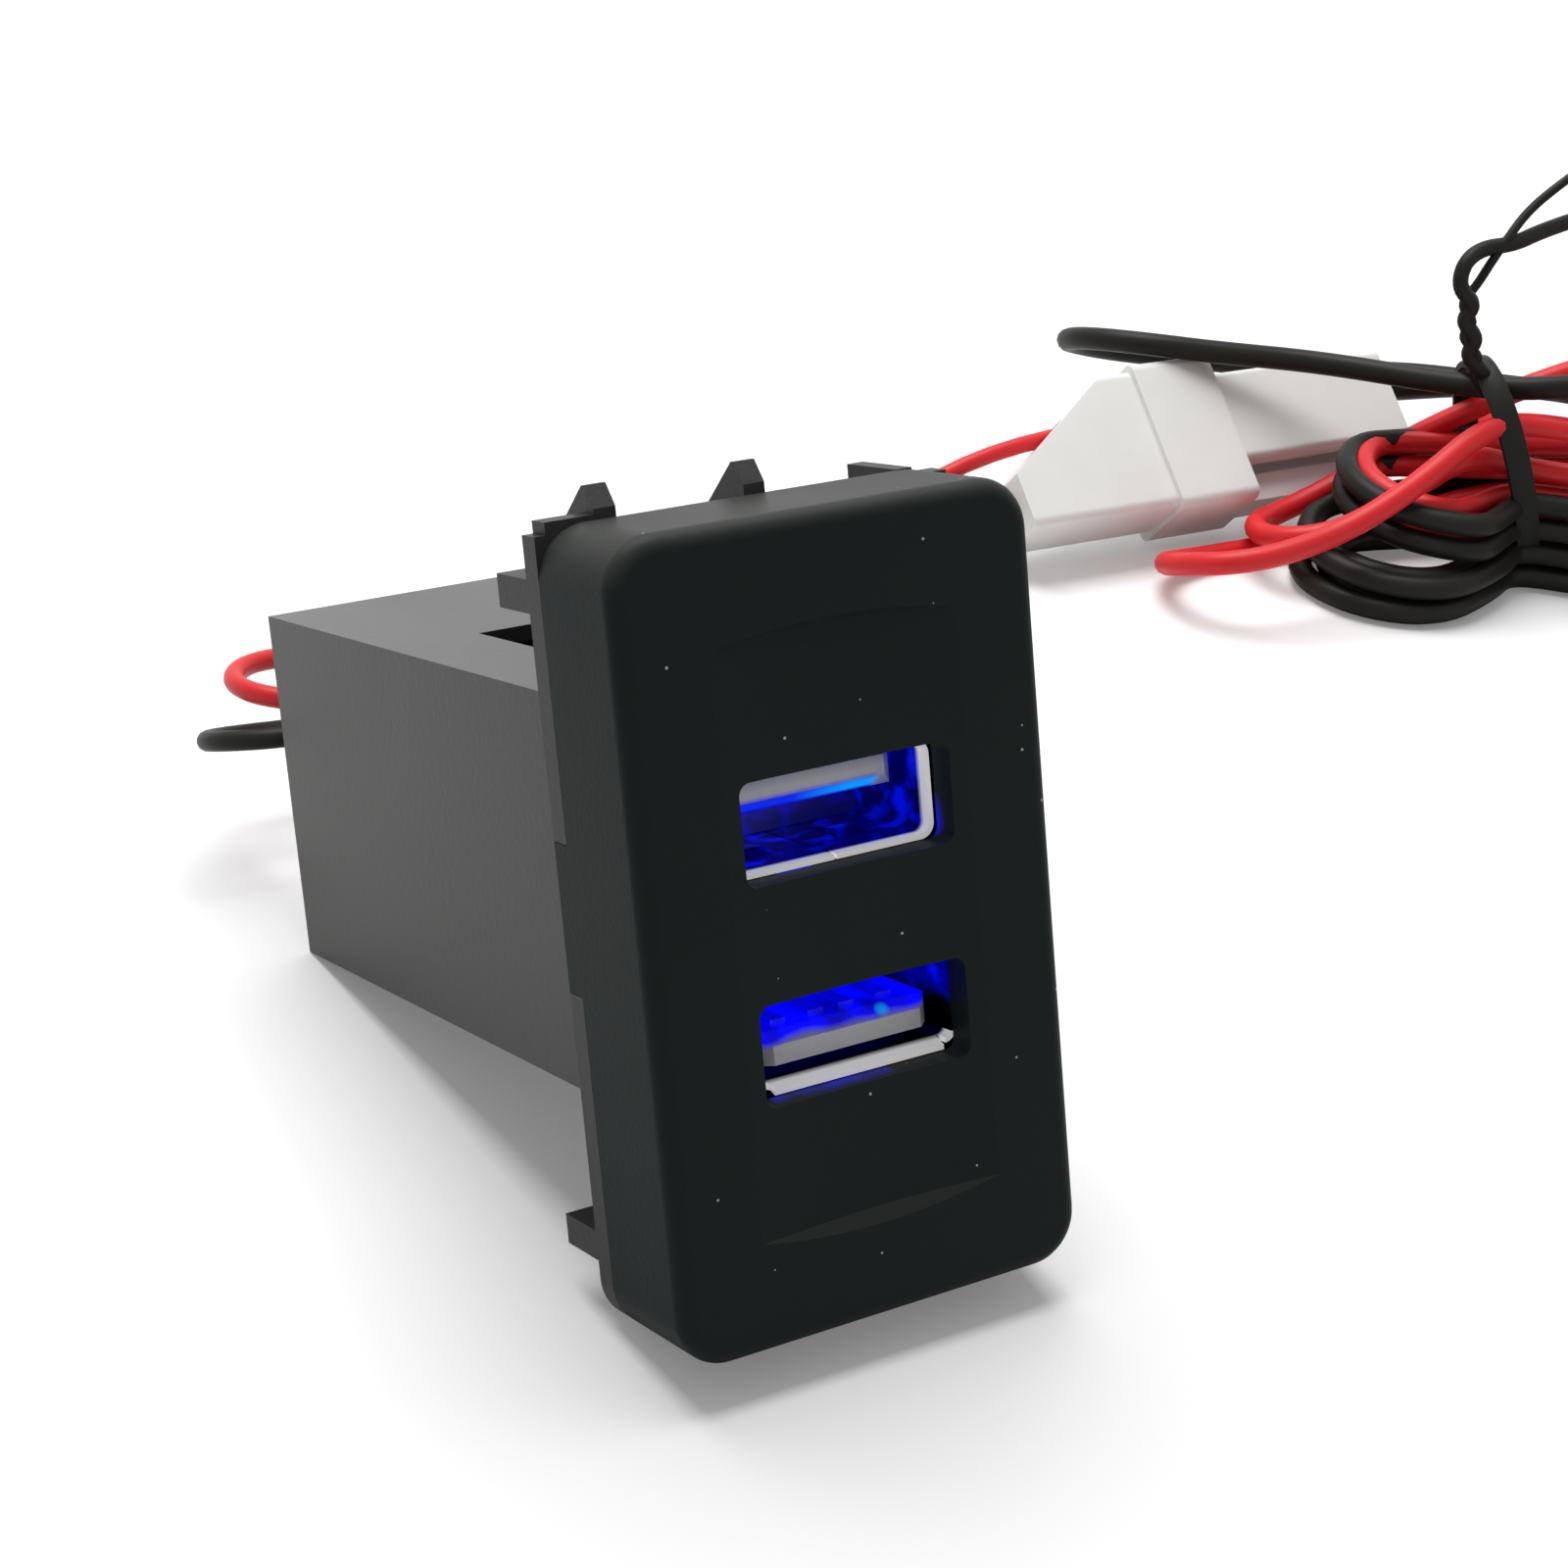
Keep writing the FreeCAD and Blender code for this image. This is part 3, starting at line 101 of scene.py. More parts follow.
class Finish:
    """A material: one Principled shader, and nodes for what changes over the surface."""

    def __init__(self, name, colour, roughness, specular=0.5, metallic=0.0):
        self.material = bpy.data.materials.new(name)
        self.material.use_nodes = True
        self.tree = self.material.node_tree
        self.shader = self.tree.nodes["Principled BSDF"]
        self.set("Base Color", (*colour, 1.0))
        self.set("Roughness", roughness)
        self.set("Specular IOR Level", specular)
        self.set("Metallic", metallic)
        self.place = self.node("ShaderNodeTexCoord", {}, {}, "Object")

    def set(self, name, value):
        """Gives one of the shader's sockets a number, a colour or a link."""
        self.fill(self.shader.inputs[name], value)

    def fill(self, socket, value):
        if isinstance(value, Socket):
            self.tree.links.new(value.link, socket)
        else:
            socket.default_value = value

    def node(self, kind, settings, sockets, output=0):
        """Adds a node: its settings first, then its sockets by name or number."""
        node = self.tree.nodes.new(kind)
        for name, value in settings.items():
            setattr(node, name, value)
        for name, value in sockets.items():
            self.fill(node.inputs[name], value)
        return Socket(self, node.outputs[output])

    def blend(self, amount, first, second):
        """One colour below and another above, mixed by an amount."""
        first = first if isinstance(first, Socket) else (*first, 1.0)
        second = second if isinstance(second, Socket) else (*second, 1.0)
        return self.node("ShaderNodeMix", {"data_type": "RGBA"}, {0: amount, 6: first, 7: second}, 2)

    def stretched(self, scale):
        """Object coordinates, drawn out along one direction or another."""
        return self.node("ShaderNodeMapping", {}, {"Vector": self.place, "Scale": scale})

    def distance_from(self, spot):
        """How far a point lies from one spot of the object, in metres."""
        sockets = {0: self.place, 1: spot}
        return self.node("ShaderNodeVectorMath", {"operation": "DISTANCE"}, sockets, "Value")

    def noise(self, scale, detail=2.0, place=None):
        sockets = {"Vector": place or self.place, "Scale": scale, "Detail": detail}
        return self.node("ShaderNodeTexNoise", {}, sockets)

    def cells(self, scale, output, place=None):
        sockets = {"Vector": place or self.place, "Scale": scale}
        return self.node("ShaderNodeTexVoronoi", {}, sockets, output)

    def along(self, axis):
        """How far a point lies along one of the object's axes, in metres."""
        return self.node("ShaderNodeSeparateXYZ", {}, {"Vector": self.place}, axis)

    def bump(self, height, depth, strength=1.0):
        sockets = {"Height": height, "Distance": depth, "Strength": strength}
        self.set("Normal", self.node("ShaderNodeBump", {}, sockets))

    def cover(self, *pieces):
        for piece in pieces:
            piece.data.materials.clear()
            piece.data.materials.append(self.material)


solder_mask = Finish("green solder mask", (0.02, 0.14, 0.05), 0.35)
tracks = solder_mask.cells(420.0, "Distance").fade(0.30, 0.36)
pads = solder_mask.cells(330.0, "Distance") < 0.09
masked = solder_mask.blend(tracks, (0.03, 0.20, 0.07), (0.015, 0.11, 0.04))
solder_mask.set("Base Color", solder_mask.blend(pads, masked, (0.62, 0.60, 0.55)))
solder_mask.set("Metallic", pads)
solder_mask.bump(tracks, 0.00004)
solder_mask.cover(nodes["front_board"], nodes["main_board"])

# Power parts on the level board: a ferrite inductor, two drawn aluminium capacitors, and a converter chip
# and a diode in moulded resin. They are soldered down and show only through the opening in the housing's
# roof.
ferrite = Finish("grey ferrite", (0.08, 0.08, 0.09), 0.7)
ferrite_grain = ferrite.noise(2600.0, 4.0)
ferrite.set("Base Color", ferrite.blend(ferrite_grain, (0.05, 0.05, 0.055), (0.12, 0.12, 0.13)))
ferrite.bump(ferrite_grain, 0.00003)
ferrite.cover(nodes["inductor"])
drawn_can = Finish("drawn aluminium", (0.72, 0.72, 0.74), 0.3, metallic=1.0)
draw_marks = drawn_can.noise(900.0, 3.0, drawn_can.stretched((1.0, 1.0, 0.1)))
drawn_can.set("Roughness", draw_marks.fade(0.2, 0.9) * 0.25 + 0.2)
drawn_can.set("Base Color", drawn_can.blend(draw_marks, (0.62, 0.62, 0.64), (0.80, 0.80, 0.82)))
drawn_can.cover(nodes["input_capacitor"], nodes["output_capacitor"])
resin = Finish("moulded resin", (0.02, 0.02, 0.022), 0.5)
resin_grain = resin.noise(5200.0, 2.0)
resin.set("Base Color", resin.blend(resin_grain, (0.014, 0.014, 0.015), (0.03, 0.03, 0.032)))
resin.bump(resin_grain, 0.00001)
resin.cover(nodes["converter_chip"], nodes["diode"])

# Light chips: two clear blue lamps on the upright board between the mouths, which light the sockets from
# behind. Each glows unevenly through its resin.
lamp_resin = Finish("blue lamp resin", (0.02, 0.12, 0.9), 0.3)
lamp_core = lamp_resin.noise(700.0, 1.0)
lamp_resin.set("Emission Color", lamp_resin.blend(lamp_core, (0.0, 0.0, 0.6), (0.0, 0.02, 1.0)))
lamp_resin.set("Emission Strength", 0.8)
lamp_resin.cover(nodes["light_chip_left"], nodes["light_chip_right"])

# Receptacle shells, folded from plated steel sheet, with two spring tabs in each wall. Their front edges
# have a painted highlight: pale, not metallic and glowing grey. Further in, the steel is painted dark with a
# painted blue reflection and glow of the lamps behind it, and under the lower tongue it is painted black
# shade.
plated = Finish("plated steel with painted light", (0.72, 0.70, 0.66), 0.24)
rolled = plated.noise(700.0, 3.0, plated.stretched((0.15, 1.0, 1.0)))
plated.set("Roughness", rolled * 0.18 + 0.14)
# Pale colour of the front edges, where the steel shows no metal sheen: partly its own colour, partly a
# painted highlight.
steel = plated.blend(rolled, (0.86, 0.85, 0.81), (0.97, 0.96, 0.93))
rim_front, rim_back = -0.0072, -0.0068
lip_level = -0.0082
shell_depth, shell_level = plated.along("Y"), plated.along("Z")
upper_port = shell_level > 0.0
# Painted highlight: the front edges of the upper shell and of the lower shell's lip.
painted_rim_highlight = shell_depth.fade(rim_back, rim_front) * upper_port.most(shell_level < lip_level)
# Painted blue light of the lamps, full above the lower tongue. Below it the steel is painted black shade.
lit_from, lit_fully = -0.0066, -0.0054
painted_blue_light = shell_level.fade(lit_from, lit_fully)
painted_shade_blue_steel = plated.blend(painted_blue_light, (0.006, 0.006, 0.007), (0.02, 0.02, 0.20))
plated.set("Base Color", plated.blend(painted_rim_highlight, painted_shade_blue_steel, steel))
plated.set("Metallic", 1.0 - painted_rim_highlight)
# Painted blue glow with painted glint spots, and a grey painted glow on the front edges.
painted_glints = plated.noise(560.0, 2.0).fade(0.52, 0.72)
painted_shell_glow = plated.blend(painted_glints, (0.0, 0.0, 0.045), (0.0, 0.004, 0.62))
painted_glow_shown = plated.blend(painted_blue_light, (0.0, 0.0, 0.0), painted_shell_glow)
plated.set("Emission Color", plated.blend(painted_rim_highlight, painted_glow_shown, (0.30, 0.30, 0.29)))
plated.set("Emission Strength", 1.0)
plated.cover(nodes["usb_shell_upper"], nodes["usb_shell_lower"])


# Tongues of pale moulded plastic with contact strips of plated brass. The lamps' light through them is
# painted: the upper one is lit along its lower edge, the lower one over its top, with a painted bright spot
# near its right end.
def pale_tongue(name, glow):
    """The finish of one tongue, with the painted light that glow gives, and painted dark blue shade and blue
    glow towards the back of the socket.
    """
    front_part, back_part = -0.0052, -0.0040
    finish = Finish(name, (0.62, 0.62, 0.63), 0.42)
    grain = finish.noise(2400.0, 2.0)
    pale = finish.blend(grain, (0.60, 0.60, 0.61), (0.70, 0.70, 0.71))
    # Painted shade, dark blue, and painted blue glow further into the socket.
    painted_blue_shade_far_in = finish.along("Y").fade(front_part, back_part)
    painted_glow, lit, shade = glow(finish)
    shaded = finish.blend(shade, pale, (0.26, 0.26, 0.30))
    finish.set("Base Color", finish.blend(painted_blue_shade_far_in.most(lit), shaded, (0.015, 0.015, 0.16)))
    painted_glow_patches = finish.noise(420.0, 2.0).fade(0.45, 0.75)
    painted_inner_glow = finish.blend(painted_glow_patches, (0.0, 0.0, 0.03), (0.0, 0.0, 0.42))
    dark = finish.blend(painted_blue_shade_far_in, (0.0, 0.0, 0.0), painted_inner_glow)
    finish.set("Emission Color", finish.blend(lit, dark, painted_glow))
    finish.set("Emission Strength", 1.0)
    finish.bump(grain, 0.00001)
    return finish


def lit_lower_edge(finish):
    """A painted blue streak of lamp light along the lower edge of the tongue's front face, palest near its
    right end, and painted shade near its top.
    """
    front_face = -0.0050
    edge_top, edge_bottom = 0.00712, 0.00680
    streak_right = 0.0047
    shade_bottom, shade_top = 0.0074, 0.0084
    level, place = finish.along("Z"), finish.along("X")
    in_front = finish.along("Y") < front_face
    near_edge = level.fade(edge_top, edge_bottom) * in_front * place.fade(streak_right, 0.0040)
    streak = level.fade(0.00700, 0.00672) * level.fade(0.00622, 0.00640)
    blue = finish.blend(place.fade(-0.0010, 0.0026), (0.0, 0.02, 0.75), (0.0, 0.30, 1.0))
    return finish.blend(streak, (0.0, 0.0, 0.40), blue), near_edge, level.fade(shade_bottom, shade_top)


def lit_top(finish):
    """A painted blue glow over the top with darker bands, one painted bright spot at its front edge where a
    lamp shines through, and painted shade towards the bottom.
    """
    painted_hot_spot = (0.0030, -0.0067, -0.00605)
    spot_edge, spot_core = 0.00072, 0.00034
    wave_height = 0.0009
    lit_bottom, lit_above = -0.00640, -0.00592
    shade_top, shade_bottom = -0.0080, -0.0086
    level = finish.along("Z")
    bands = finish.noise(520.0, 2.0, finish.stretched((1.0, 0.3, 1.0))).fade(0.36, 0.62)
    blue = finish.blend(bands, (0.0, 0.0, 0.20), (0.0, 0.0, 1.0))
    bright = finish.distance_from(painted_hot_spot).fade(spot_edge, spot_core)
    wave = finish.noise(330.0, 1.0) * wave_height
    lit = (level + wave).fade(lit_bottom, lit_above)
    return finish.blend(bright, blue, (0.0, 0.36, 1.0)), lit.most(bright), level.fade(shade_top, shade_bottom)


upper_tongue = pale_tongue("pale moulded plastic, lit below", lit_lower_edge)
upper_tongue.cover(nodes["usb_tongue_upper"])
lower_tongue = pale_tongue("pale moulded plastic, lit above", lit_top)
lower_tongue.cover(nodes["usb_tongue_lower"])
strip_brass = Finish("plated brass", (0.78, 0.62, 0.3), 0.25, metallic=1.0)
strip_marks = strip_brass.noise(1500.0, 2.0, strip_brass.stretched((1.0, 0.1, 1.0)))
strip_brass.set("Roughness", strip_marks * 0.2 + 0.15)
strip_brass.set("Base Color", strip_brass.blend(strip_marks, (0.70, 0.54, 0.25), (0.86, 0.72, 0.40)))
strip_brass.cover(nodes["connector_terminals"])
# The contacts within the mouths are a copy of the brass painted in blue light: a dark blue colour and a
# painted blue glow.
lit_strip = Finish("plated brass in blue light", (0.05, 0.05, 0.30), 0.3, metallic=1.0)
lit_marks = lit_strip.noise(900.0, 2.0, lit_strip.stretched((1.0, 0.2, 1.0)))
lit_strip.set("Roughness", lit_marks * 0.2 + 0.2)
lit_strip.set("Base Color", lit_strip.blend(lit_marks, (0.03, 0.03, 0.20), (0.10, 0.10, 0.45)))
lit_strip.set("Emission Color", lit_strip.blend(lit_marks, (0.0, 0.0, 0.12), (0.0, 0.0, 0.60)))
lit_strip.set("Emission Strength", 1.0)
lit_strip.cover(nodes["usb_contacts_upper"], nodes["usb_contacts_lower"])

# Rear housing: a box moulded in black plastic with a satin skin, open in its roof, which carries the boards
# and clips into the snap frame.
satin_black = Finish("satin black plastic", (0.02, 0.021, 0.02), 0.3, specular=0.26)
flow = satin_black.noise(55.0, 2.0, satin_black.stretched((1.0, 0.35, 1.0)))
skin = satin_black.noise(1900.0, 3.0)
satin_black.set("Base Color", satin_black.blend(flow, (0.012, 0.013, 0.012), (0.028, 0.029, 0.026)))
satin_black.set("Roughness", flow * 0.16 + 0.22)
satin_black.bump(skin, 0.000012)
satin_black.cover(nodes["rear_housing"])

# Snap frame: the ring behind the bezel with barbs on its top rail and bars at its sides, moulded in black
# plastic with a slightly drier skin than the housing.
dry_black = Finish("dry black plastic", (0.018, 0.019, 0.018), 0.45, specular=0.25)
dry_skin = dry_black.noise(2400.0, 3.0)
dry_black.set("Base Color", dry_black.blend(dry_skin, (0.014, 0.015, 0.014), (0.026, 0.027, 0.026)))
dry_black.bump(dry_skin, 0.00002)
dry_black.cover(nodes["snap_frame"])

# Bezel: the deep front cap with rounded corners and the two mouths, moulded in black plastic with a fine
# matt spark texture and pale dust specks. Its up-facing surfaces are painted lighter, a painted highlight,
# and a painted blue glow of the lamps' light lies in the cavity behind the mouths.
matt_black = Finish("fine matt black plastic", (0.008, 0.012, 0.0115), 0.45, specular=0.07)
spark = matt_black.noise(3000.0, 4.0)
tone = matt_black.noise(60.0, 2.0)
matt_colour = matt_black.blend(tone, (0.0080, 0.0128, 0.0124), (0.0118, 0.0170, 0.0166))
outward = matt_black.node("ShaderNodeNewGeometry", {}, {}, "Normal")
facing = matt_black.node("ShaderNodeSeparateXYZ", {}, {"Vector": outward}, "Z")
across, depth, level = matt_black.along("X"), matt_black.along("Y"), matt_black.along("Z")
walls_left, walls_right = -0.0075, 0.0080
walls_reach = 0.0098
between_walls = across.within(walls_left, walls_right) * level.within(-walls_reach, walls_reach)
# Painted highlight: surfaces that face up are painted lighter, except within the mouths.
painted_top_highlight = facing.fade(0.05, 0.75) * (1.0 - between_walls)
painted_highlit_colour = matt_black.blend(painted_top_highlight * 0.85, matt_colour, (0.045, 0.047, 0.044))
speck_scale = 600.0
speck_place = matt_black.cells(speck_scale, "Distance") < 0.055
speck_colour = matt_black.cells(speck_scale, "Color")
speck_chosen = matt_black.node("ShaderNodeSeparateColor", {}, {0: speck_colour}, 0) > 0.55
matt_black.set("Base Color", matt_black.blend(speck_place * speck_chosen, painted_highlit_colour, (0.45, 0.45, 0.43)))
matt_black.set("Roughness", tone * 0.14 + 0.38)
matt_black.bump(spark, 0.000018)
# Painted blue glow behind the face: a spot by the upper mouth's right side and a line under the lower mouth,
# in patches.
behind_face = depth.fade(-0.0092, -0.0080)
leak_spot = (0.0074, -0.0070, 0.0044)
leak_edge, leak_core = 0.0019, 0.0006
painted_spot_glow = matt_black.distance_from(leak_spot).fade(leak_edge, leak_core)
painted_lip_glow = level.fade(-0.0086, -0.0094) * across.within(-0.0056, 0.0020) * 0.55
painted_light_glow = painted_spot_glow.most(painted_lip_glow) * matt_black.noise(330.0, 1.0).fade(0.25, 0.60)
painted_cavity_glow = behind_face * between_walls * painted_light_glow
matt_black.set("Emission Color", matt_black.blend(painted_cavity_glow, (0.0, 0.0, 0.0), (0.0, 0.0, 0.90)))
matt_black.set("Emission Strength", 1.0)
matt_black.cover(nodes["bezel"])

# Leads from the board to the connector: two vinyl wires, red and black, that leave the housing's rear wall
# side by side, make a loose loop each and come down to the table. Their route is the one they have in the
# solid model.


def lay_wire(name, route, diameter):
    """A round wire along one open spline through the points of its route."""
    curve = bpy.data.curves.new(name, "CURVE")
    curve.dimensions = "3D"
    spline = curve.splines.new("NURBS")
    spline.points.add(len(route) - 1)
    for point, place in zip(spline.points, route):
        point.co = (*place, 1.0)
    spline.order_u = 3
    spline.use_endpoint_u = True
    spline.resolution_u = 6
    curve.bevel_depth = diameter / 2
    curve.bevel_resolution = 4
    curve.use_fill_caps = True
    wire = bpy.data.objects.new(name, curve)
    bpy.context.collection.objects.link(wire)
    return wire


red_vinyl = Finish("red vinyl", (0.70, 0.018, 0.022), 0.45, specular=0.3)
red_tone = red_vinyl.noise(140.0, 3.0)
red_vinyl.set("Base Color", red_vinyl.blend(red_tone, (0.60, 0.012, 0.016), (0.80, 0.024, 0.028)))
red_vinyl.set("Roughness", red_tone * 0.2 + 0.3)
red_vinyl.bump(red_vinyl.noise(1200.0, 2.0), 0.00001)
black_vinyl = Finish("black vinyl", (0.012, 0.012, 0.009), 0.45, specular=0.16)
black_tone = black_vinyl.noise(140.0, 3.0)
black_vinyl.set("Base Color", black_vinyl.blend(black_tone, (0.008, 0.0075, 0.006), (0.016, 0.0155, 0.012)))
black_vinyl.set("Roughness", black_tone * 0.2 + 0.34)
black_vinyl.bump(black_vinyl.noise(1200.0, 2.0), 0.00001)

lead_diameter = 0.0015
red_lead_route = [
    (0.0000, 0.0390, 0.0038),
    (0.0000, 0.0455, 0.0038),
    (-0.0030, 0.0485, 0.0056),
    (-0.0076, 0.0486, 0.0062),
    (-0.0106, 0.0516, 0.0069),
    (-0.0106, 0.0558, 0.0075),
    (-0.0076, 0.0588, 0.0079),
    (-0.0020, 0.0597, 0.0074),
    (0.0050, 0.0593, 0.0063),
    (0.0115, 0.0599, 0.0049),
    (0.0190, 0.0602, 0.0009),
    (0.0270, 0.0650, -0.0014),
    (0.0360, 0.0710, -0.0006),
    (0.0455, 0.0762, 0.0012),
    (0.0545, 0.0795, 0.0049),
    (0.0695, 0.0793, 0.0116),
    (0.0815, 0.0790, 0.0116),
]
black_lead_route = [
    (0.0032, 0.0390, 0.0038),
    (0.0032, 0.0455, 0.0038),
    (0.0002, 0.0485, 0.0037),
    (-0.0048, 0.0487, 0.0039),
    (-0.0101, 0.0486, 0.0041),
    (-0.0131, 0.0516, 0.0040),
    (-0.0131, 0.0559, 0.0034),
    (-0.0101, 0.0589, 0.0028),
    (-0.0042, 0.0588, 0.0024),
    (0.0025, 0.0583, 0.0020),
    (0.0090, 0.0586, 0.0011),
    (0.0165, 0.0583, -0.0017),
    (0.0245, 0.0619, -0.0031),
    (0.0330, 0.0667, -0.0019),
    (0.0425, 0.0713, -0.0005),
    (0.0525, 0.0745, 0.0015),
    (0.0633, 0.0767, 0.0070),
    (0.0733, 0.0764, 0.0068),
]
red_lead = lay_wire("red_lead", red_lead_route, lead_diameter)
black_lead = lay_wire("black_lead", black_lead_route, lead_diameter)
red_vinyl.cover(red_lead)
black_vinyl.cover(black_lead)
for wire, node in ((red_lead, "lead_red"), (black_lead, "lead_black")):
    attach(wire, "root")
    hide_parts(node)

# Connector pair: two milky nylon housings pushed together, with a collar round the joint and a latch strip.
# They are moulded in one piece each and lie on one long edge.
milky_nylon = Finish("milky nylon", (0.74, 0.74, 0.72), 0.38)
cloud = milky_nylon.noise(160.0, 3.0)
milky_nylon.set("Base Color", milky_nylon.blend(cloud, (0.78, 0.78, 0.755), (0.88, 0.88, 0.86)))
milky_nylon.set("Roughness", cloud * 0.2 + 0.28)
milky_nylon.set("Subsurface Weight", 0.15)
milky_nylon.set("Subsurface Radius", (0.002, 0.002, 0.002))
milky_nylon.set("Subsurface Scale", 1.0)
milky_nylon.bump(milky_nylon.noise(1400.0, 2.0), 0.00001)
milky_nylon.cover(nodes["connector_socket"], nodes["connector_plug"])

# Harness: a red and a black vinyl wire from the plug, wound in long turns and folded into one hank with a
# tie round its waist. Left of the tie the turns fan out over the table, and one turn of the black lies over
# the connector.
lean = math.radians(16.88)


def on_table(across, back, height):
    """A place over the table that the lead lies on, from millimetres across it, up its slope and above it."""
    back_part = back * math.cos(lean) - height * math.sin(lean)
    up_part = back * math.sin(lean) + height * math.cos(lean)
    return (across / 1000, back_part / 1000, (up_part - 23.0) / 1000)


tie_across, tie_back = 113.8, 65.6
turn_at_tie, turn_beyond = 21.0, 32.5


def hank_place(along, side, height, fan):
    """A place in the hank: how far past the tie, how far behind the hank's middle line, and how high."""
    turn = math.radians(fan if along < 0 else turn_at_tie if along == 0 else turn_beyond)
    across = tie_across + along * math.cos(turn) + side * math.sin(turn)
    back = tie_back - along * math.sin(turn) + side * math.cos(turn)
    return on_table(across, back, height)


def round_fold(reach, side, sign):
    """The four points of a fold's round end, from the back of the hank to the front when sign is 1."""
    corner = 0.414 * side
    start = reach - side + corner
    ends = [(start, side), (reach, corner), (reach, -corner), (start, -side)]
    return [(sign * along, sign * across) for along, across in ends]


def right_half(row, side, waist, reach, fan, rise=0.0):
    """Out along the back, round the fold beyond the tie and home along the front."""
    near_waist, near_tie, halfway = 0.4 * side + 0.6 * waist, 8, 19
    before_fold = reach - 1.6 * side
    points = [(near_tie, near_waist, row), (halfway, 0.95 * side, row), (before_fold, side, row)]
    fold = round_fold(reach, side, 1)
    points += [(a, s, row + rise * (i + 1) / 5) for i, (a, s) in enumerate(fold)]
    points += [(before_fold, -side, row + rise), (halfway, -0.95 * side, row + rise)]
    points += [(near_tie, -near_waist, row + rise), (0, -waist, row + rise)]
    return [hank_place(a, s, h, fan) for a, s, h in points]


def left_half(reach, side, heights, back_waist, back_row, fan):
    """Out along the front, round the fold on the near side of the tie and home along the back."""
    fold = round_fold(reach, side, -1)
    before_fold = max(reach - 1.6 * side, 6.0)
    points = [(-before_fold, -side * 0.78, heights[0])]
    points += [(a, s, h) for (a, s), h in zip(fold, heights[1:5])]
    points += [(-before_fold, side * 0.78, heights[5]), (0, back_waist, back_row)]
    return [hank_place(a, s, h, fan) for a, s, h in points]


harness_diameter = 0.0021
red_harness_route = [
    (0.1108, 0.0751, 0.0065),
    (0.1198, 0.0746, 0.0065),
    (0.1280, 0.0755, 0.0066),
    (0.1332, 0.0696, 0.0050),
    (0.1352, 0.0620, 0.0040),
]
back, middle, near = 10, 0, -5
row_1, row_2, row_3, row_4, row_5, row_6, row_7 = 1.2, 3.5, 5.85, 8.15, 10.45, 12.75, 15.05
inner, outer = 6.7, 8.9
inner_waist, outer_waist = 2.8, 5.2
on_row_3, on_row_4 = (5.9, 6.0, 6.4, 7.0, 7.6, 8.0), (8.2, 8.4, 8.8, 9.4, 9.9, 10.3)
red_harness_route += [hank_place(22.5, 10.8, 10.6, back), hank_place(29, 9.8, 12.2, back)]
red_harness_route += right_half(row_6, outer, 3.6, 46.0, back, rise=2.3)[2:]
red_harness_route += [
    on_table(106.8, 61.9, 15.4),
    on_table(99.4, 61.0, 11.6),
    on_table(92.7, 61.6, 8.2),
    on_table(85.4, 61.8, 6.8),
    on_table(81.0, 63.6, 6.0),
    on_table(79.4, 68.2, 4.4),
    on_table(81.2, 72.6, 2.4),
    on_table(86.0, 74.3, 1.3),
    on_table(94.0, 74.2, 1.2),
    on_table(104.0, 70.6, 2.9),
    hank_place(0, inner_waist, row_3, back),
]
red_harness_route += right_half(row_3, inner, inner_waist, 43.8, back)
red_harness_route += left_half(13.4, inner, on_row_3, inner_waist, row_4, back)
red_harness_route += right_half(row_4, inner, inner_waist, 43.8, back)
red_harness_route += left_half(13.4, inner, on_row_4, inner_waist, row_5, back)
red_harness_route += right_half(row_5, inner, inner_waist, 43.8, back)
red_harness_route += [
    on_table(107.6, 63.6, 12.4),
    on_table(101.8, 64.2, 9.6),
    on_table(95.8, 65.0, 6.4),
    on_table(92.0, 67.0, 5.2),
    on_table(90.9, 70.9, 4.2),
    on_table(93.0, 74.6, 3.6),
    on_table(97.6, 76.0, 3.5),
    on_table(103.4, 75.4, 5.6),
    on_table(108.8, 73.2, 10.0),
    hank_place(0, 3.0, row_7, back),
    hank_place(7, 5.4, 17.6, back),
    hank_place(16, 7.4, 19.8, back),
    hank_place(30, 7.8, 17.6, back),
    hank_place(40, 6.0, 15.2, back),
]
red_harness = lay_wire("red_harness", red_harness_route, harness_diameter)

black_harness_route = [
    (0.1110, 0.0780, 0.0113),
    (0.1220, 0.0787, 0.0105),
    (0.1305, 0.0757, 0.0098),
    (0.1352, 0.0684, 0.0082),
    (0.1358, 0.0602, 0.0059),
    hank_place(27, 11.0, 8.6, back),
    hank_place(37, 10.9, 5.6, back),
]
black_harness_route += right_half(row_1, outer, outer_waist, 55.0, near)[3:]
black_harness_route += left_half(20.6, 8.6, (row_1,) * 6, inner_waist, row_1, near)
black_harness_route += right_half(row_1, inner, inner_waist, 52.8, near)
black_harness_route += left_half(18.0, inner, (1.2, 1.2, 1.2, 1.3, 2.2, 3.2), inner_waist, row_2, near)
black_harness_route += right_half(row_2, inner, inner_waist, 52.8, near)
black_harness_route += left_half(18.2, inner, (row_2,) * 6, outer_waist, row_2, near)
black_harness_route += right_half(row_2, outer, outer_waist, 55.0, near)
black_harness_route += left_half(20.0, outer, (3.5, 3.5, 3.5, 3.9, 4.8, 5.6), outer_waist, row_3, near)
black_harness_route += right_half(row_3, outer, outer_waist, 55.0, middle)
black_harness_route += left_half(15.6, outer, on_row_3, outer_waist, row_4, middle)
black_harness_route += right_half(row_4, outer, outer_waist, 55.0, middle)
black_harness_route += left_half(15.6, outer, on_row_4, outer_waist, row_5, middle)
black_harness_route += right_half(row_5, outer, inner_waist, 57.0, middle, rise=6.85)[:-3]
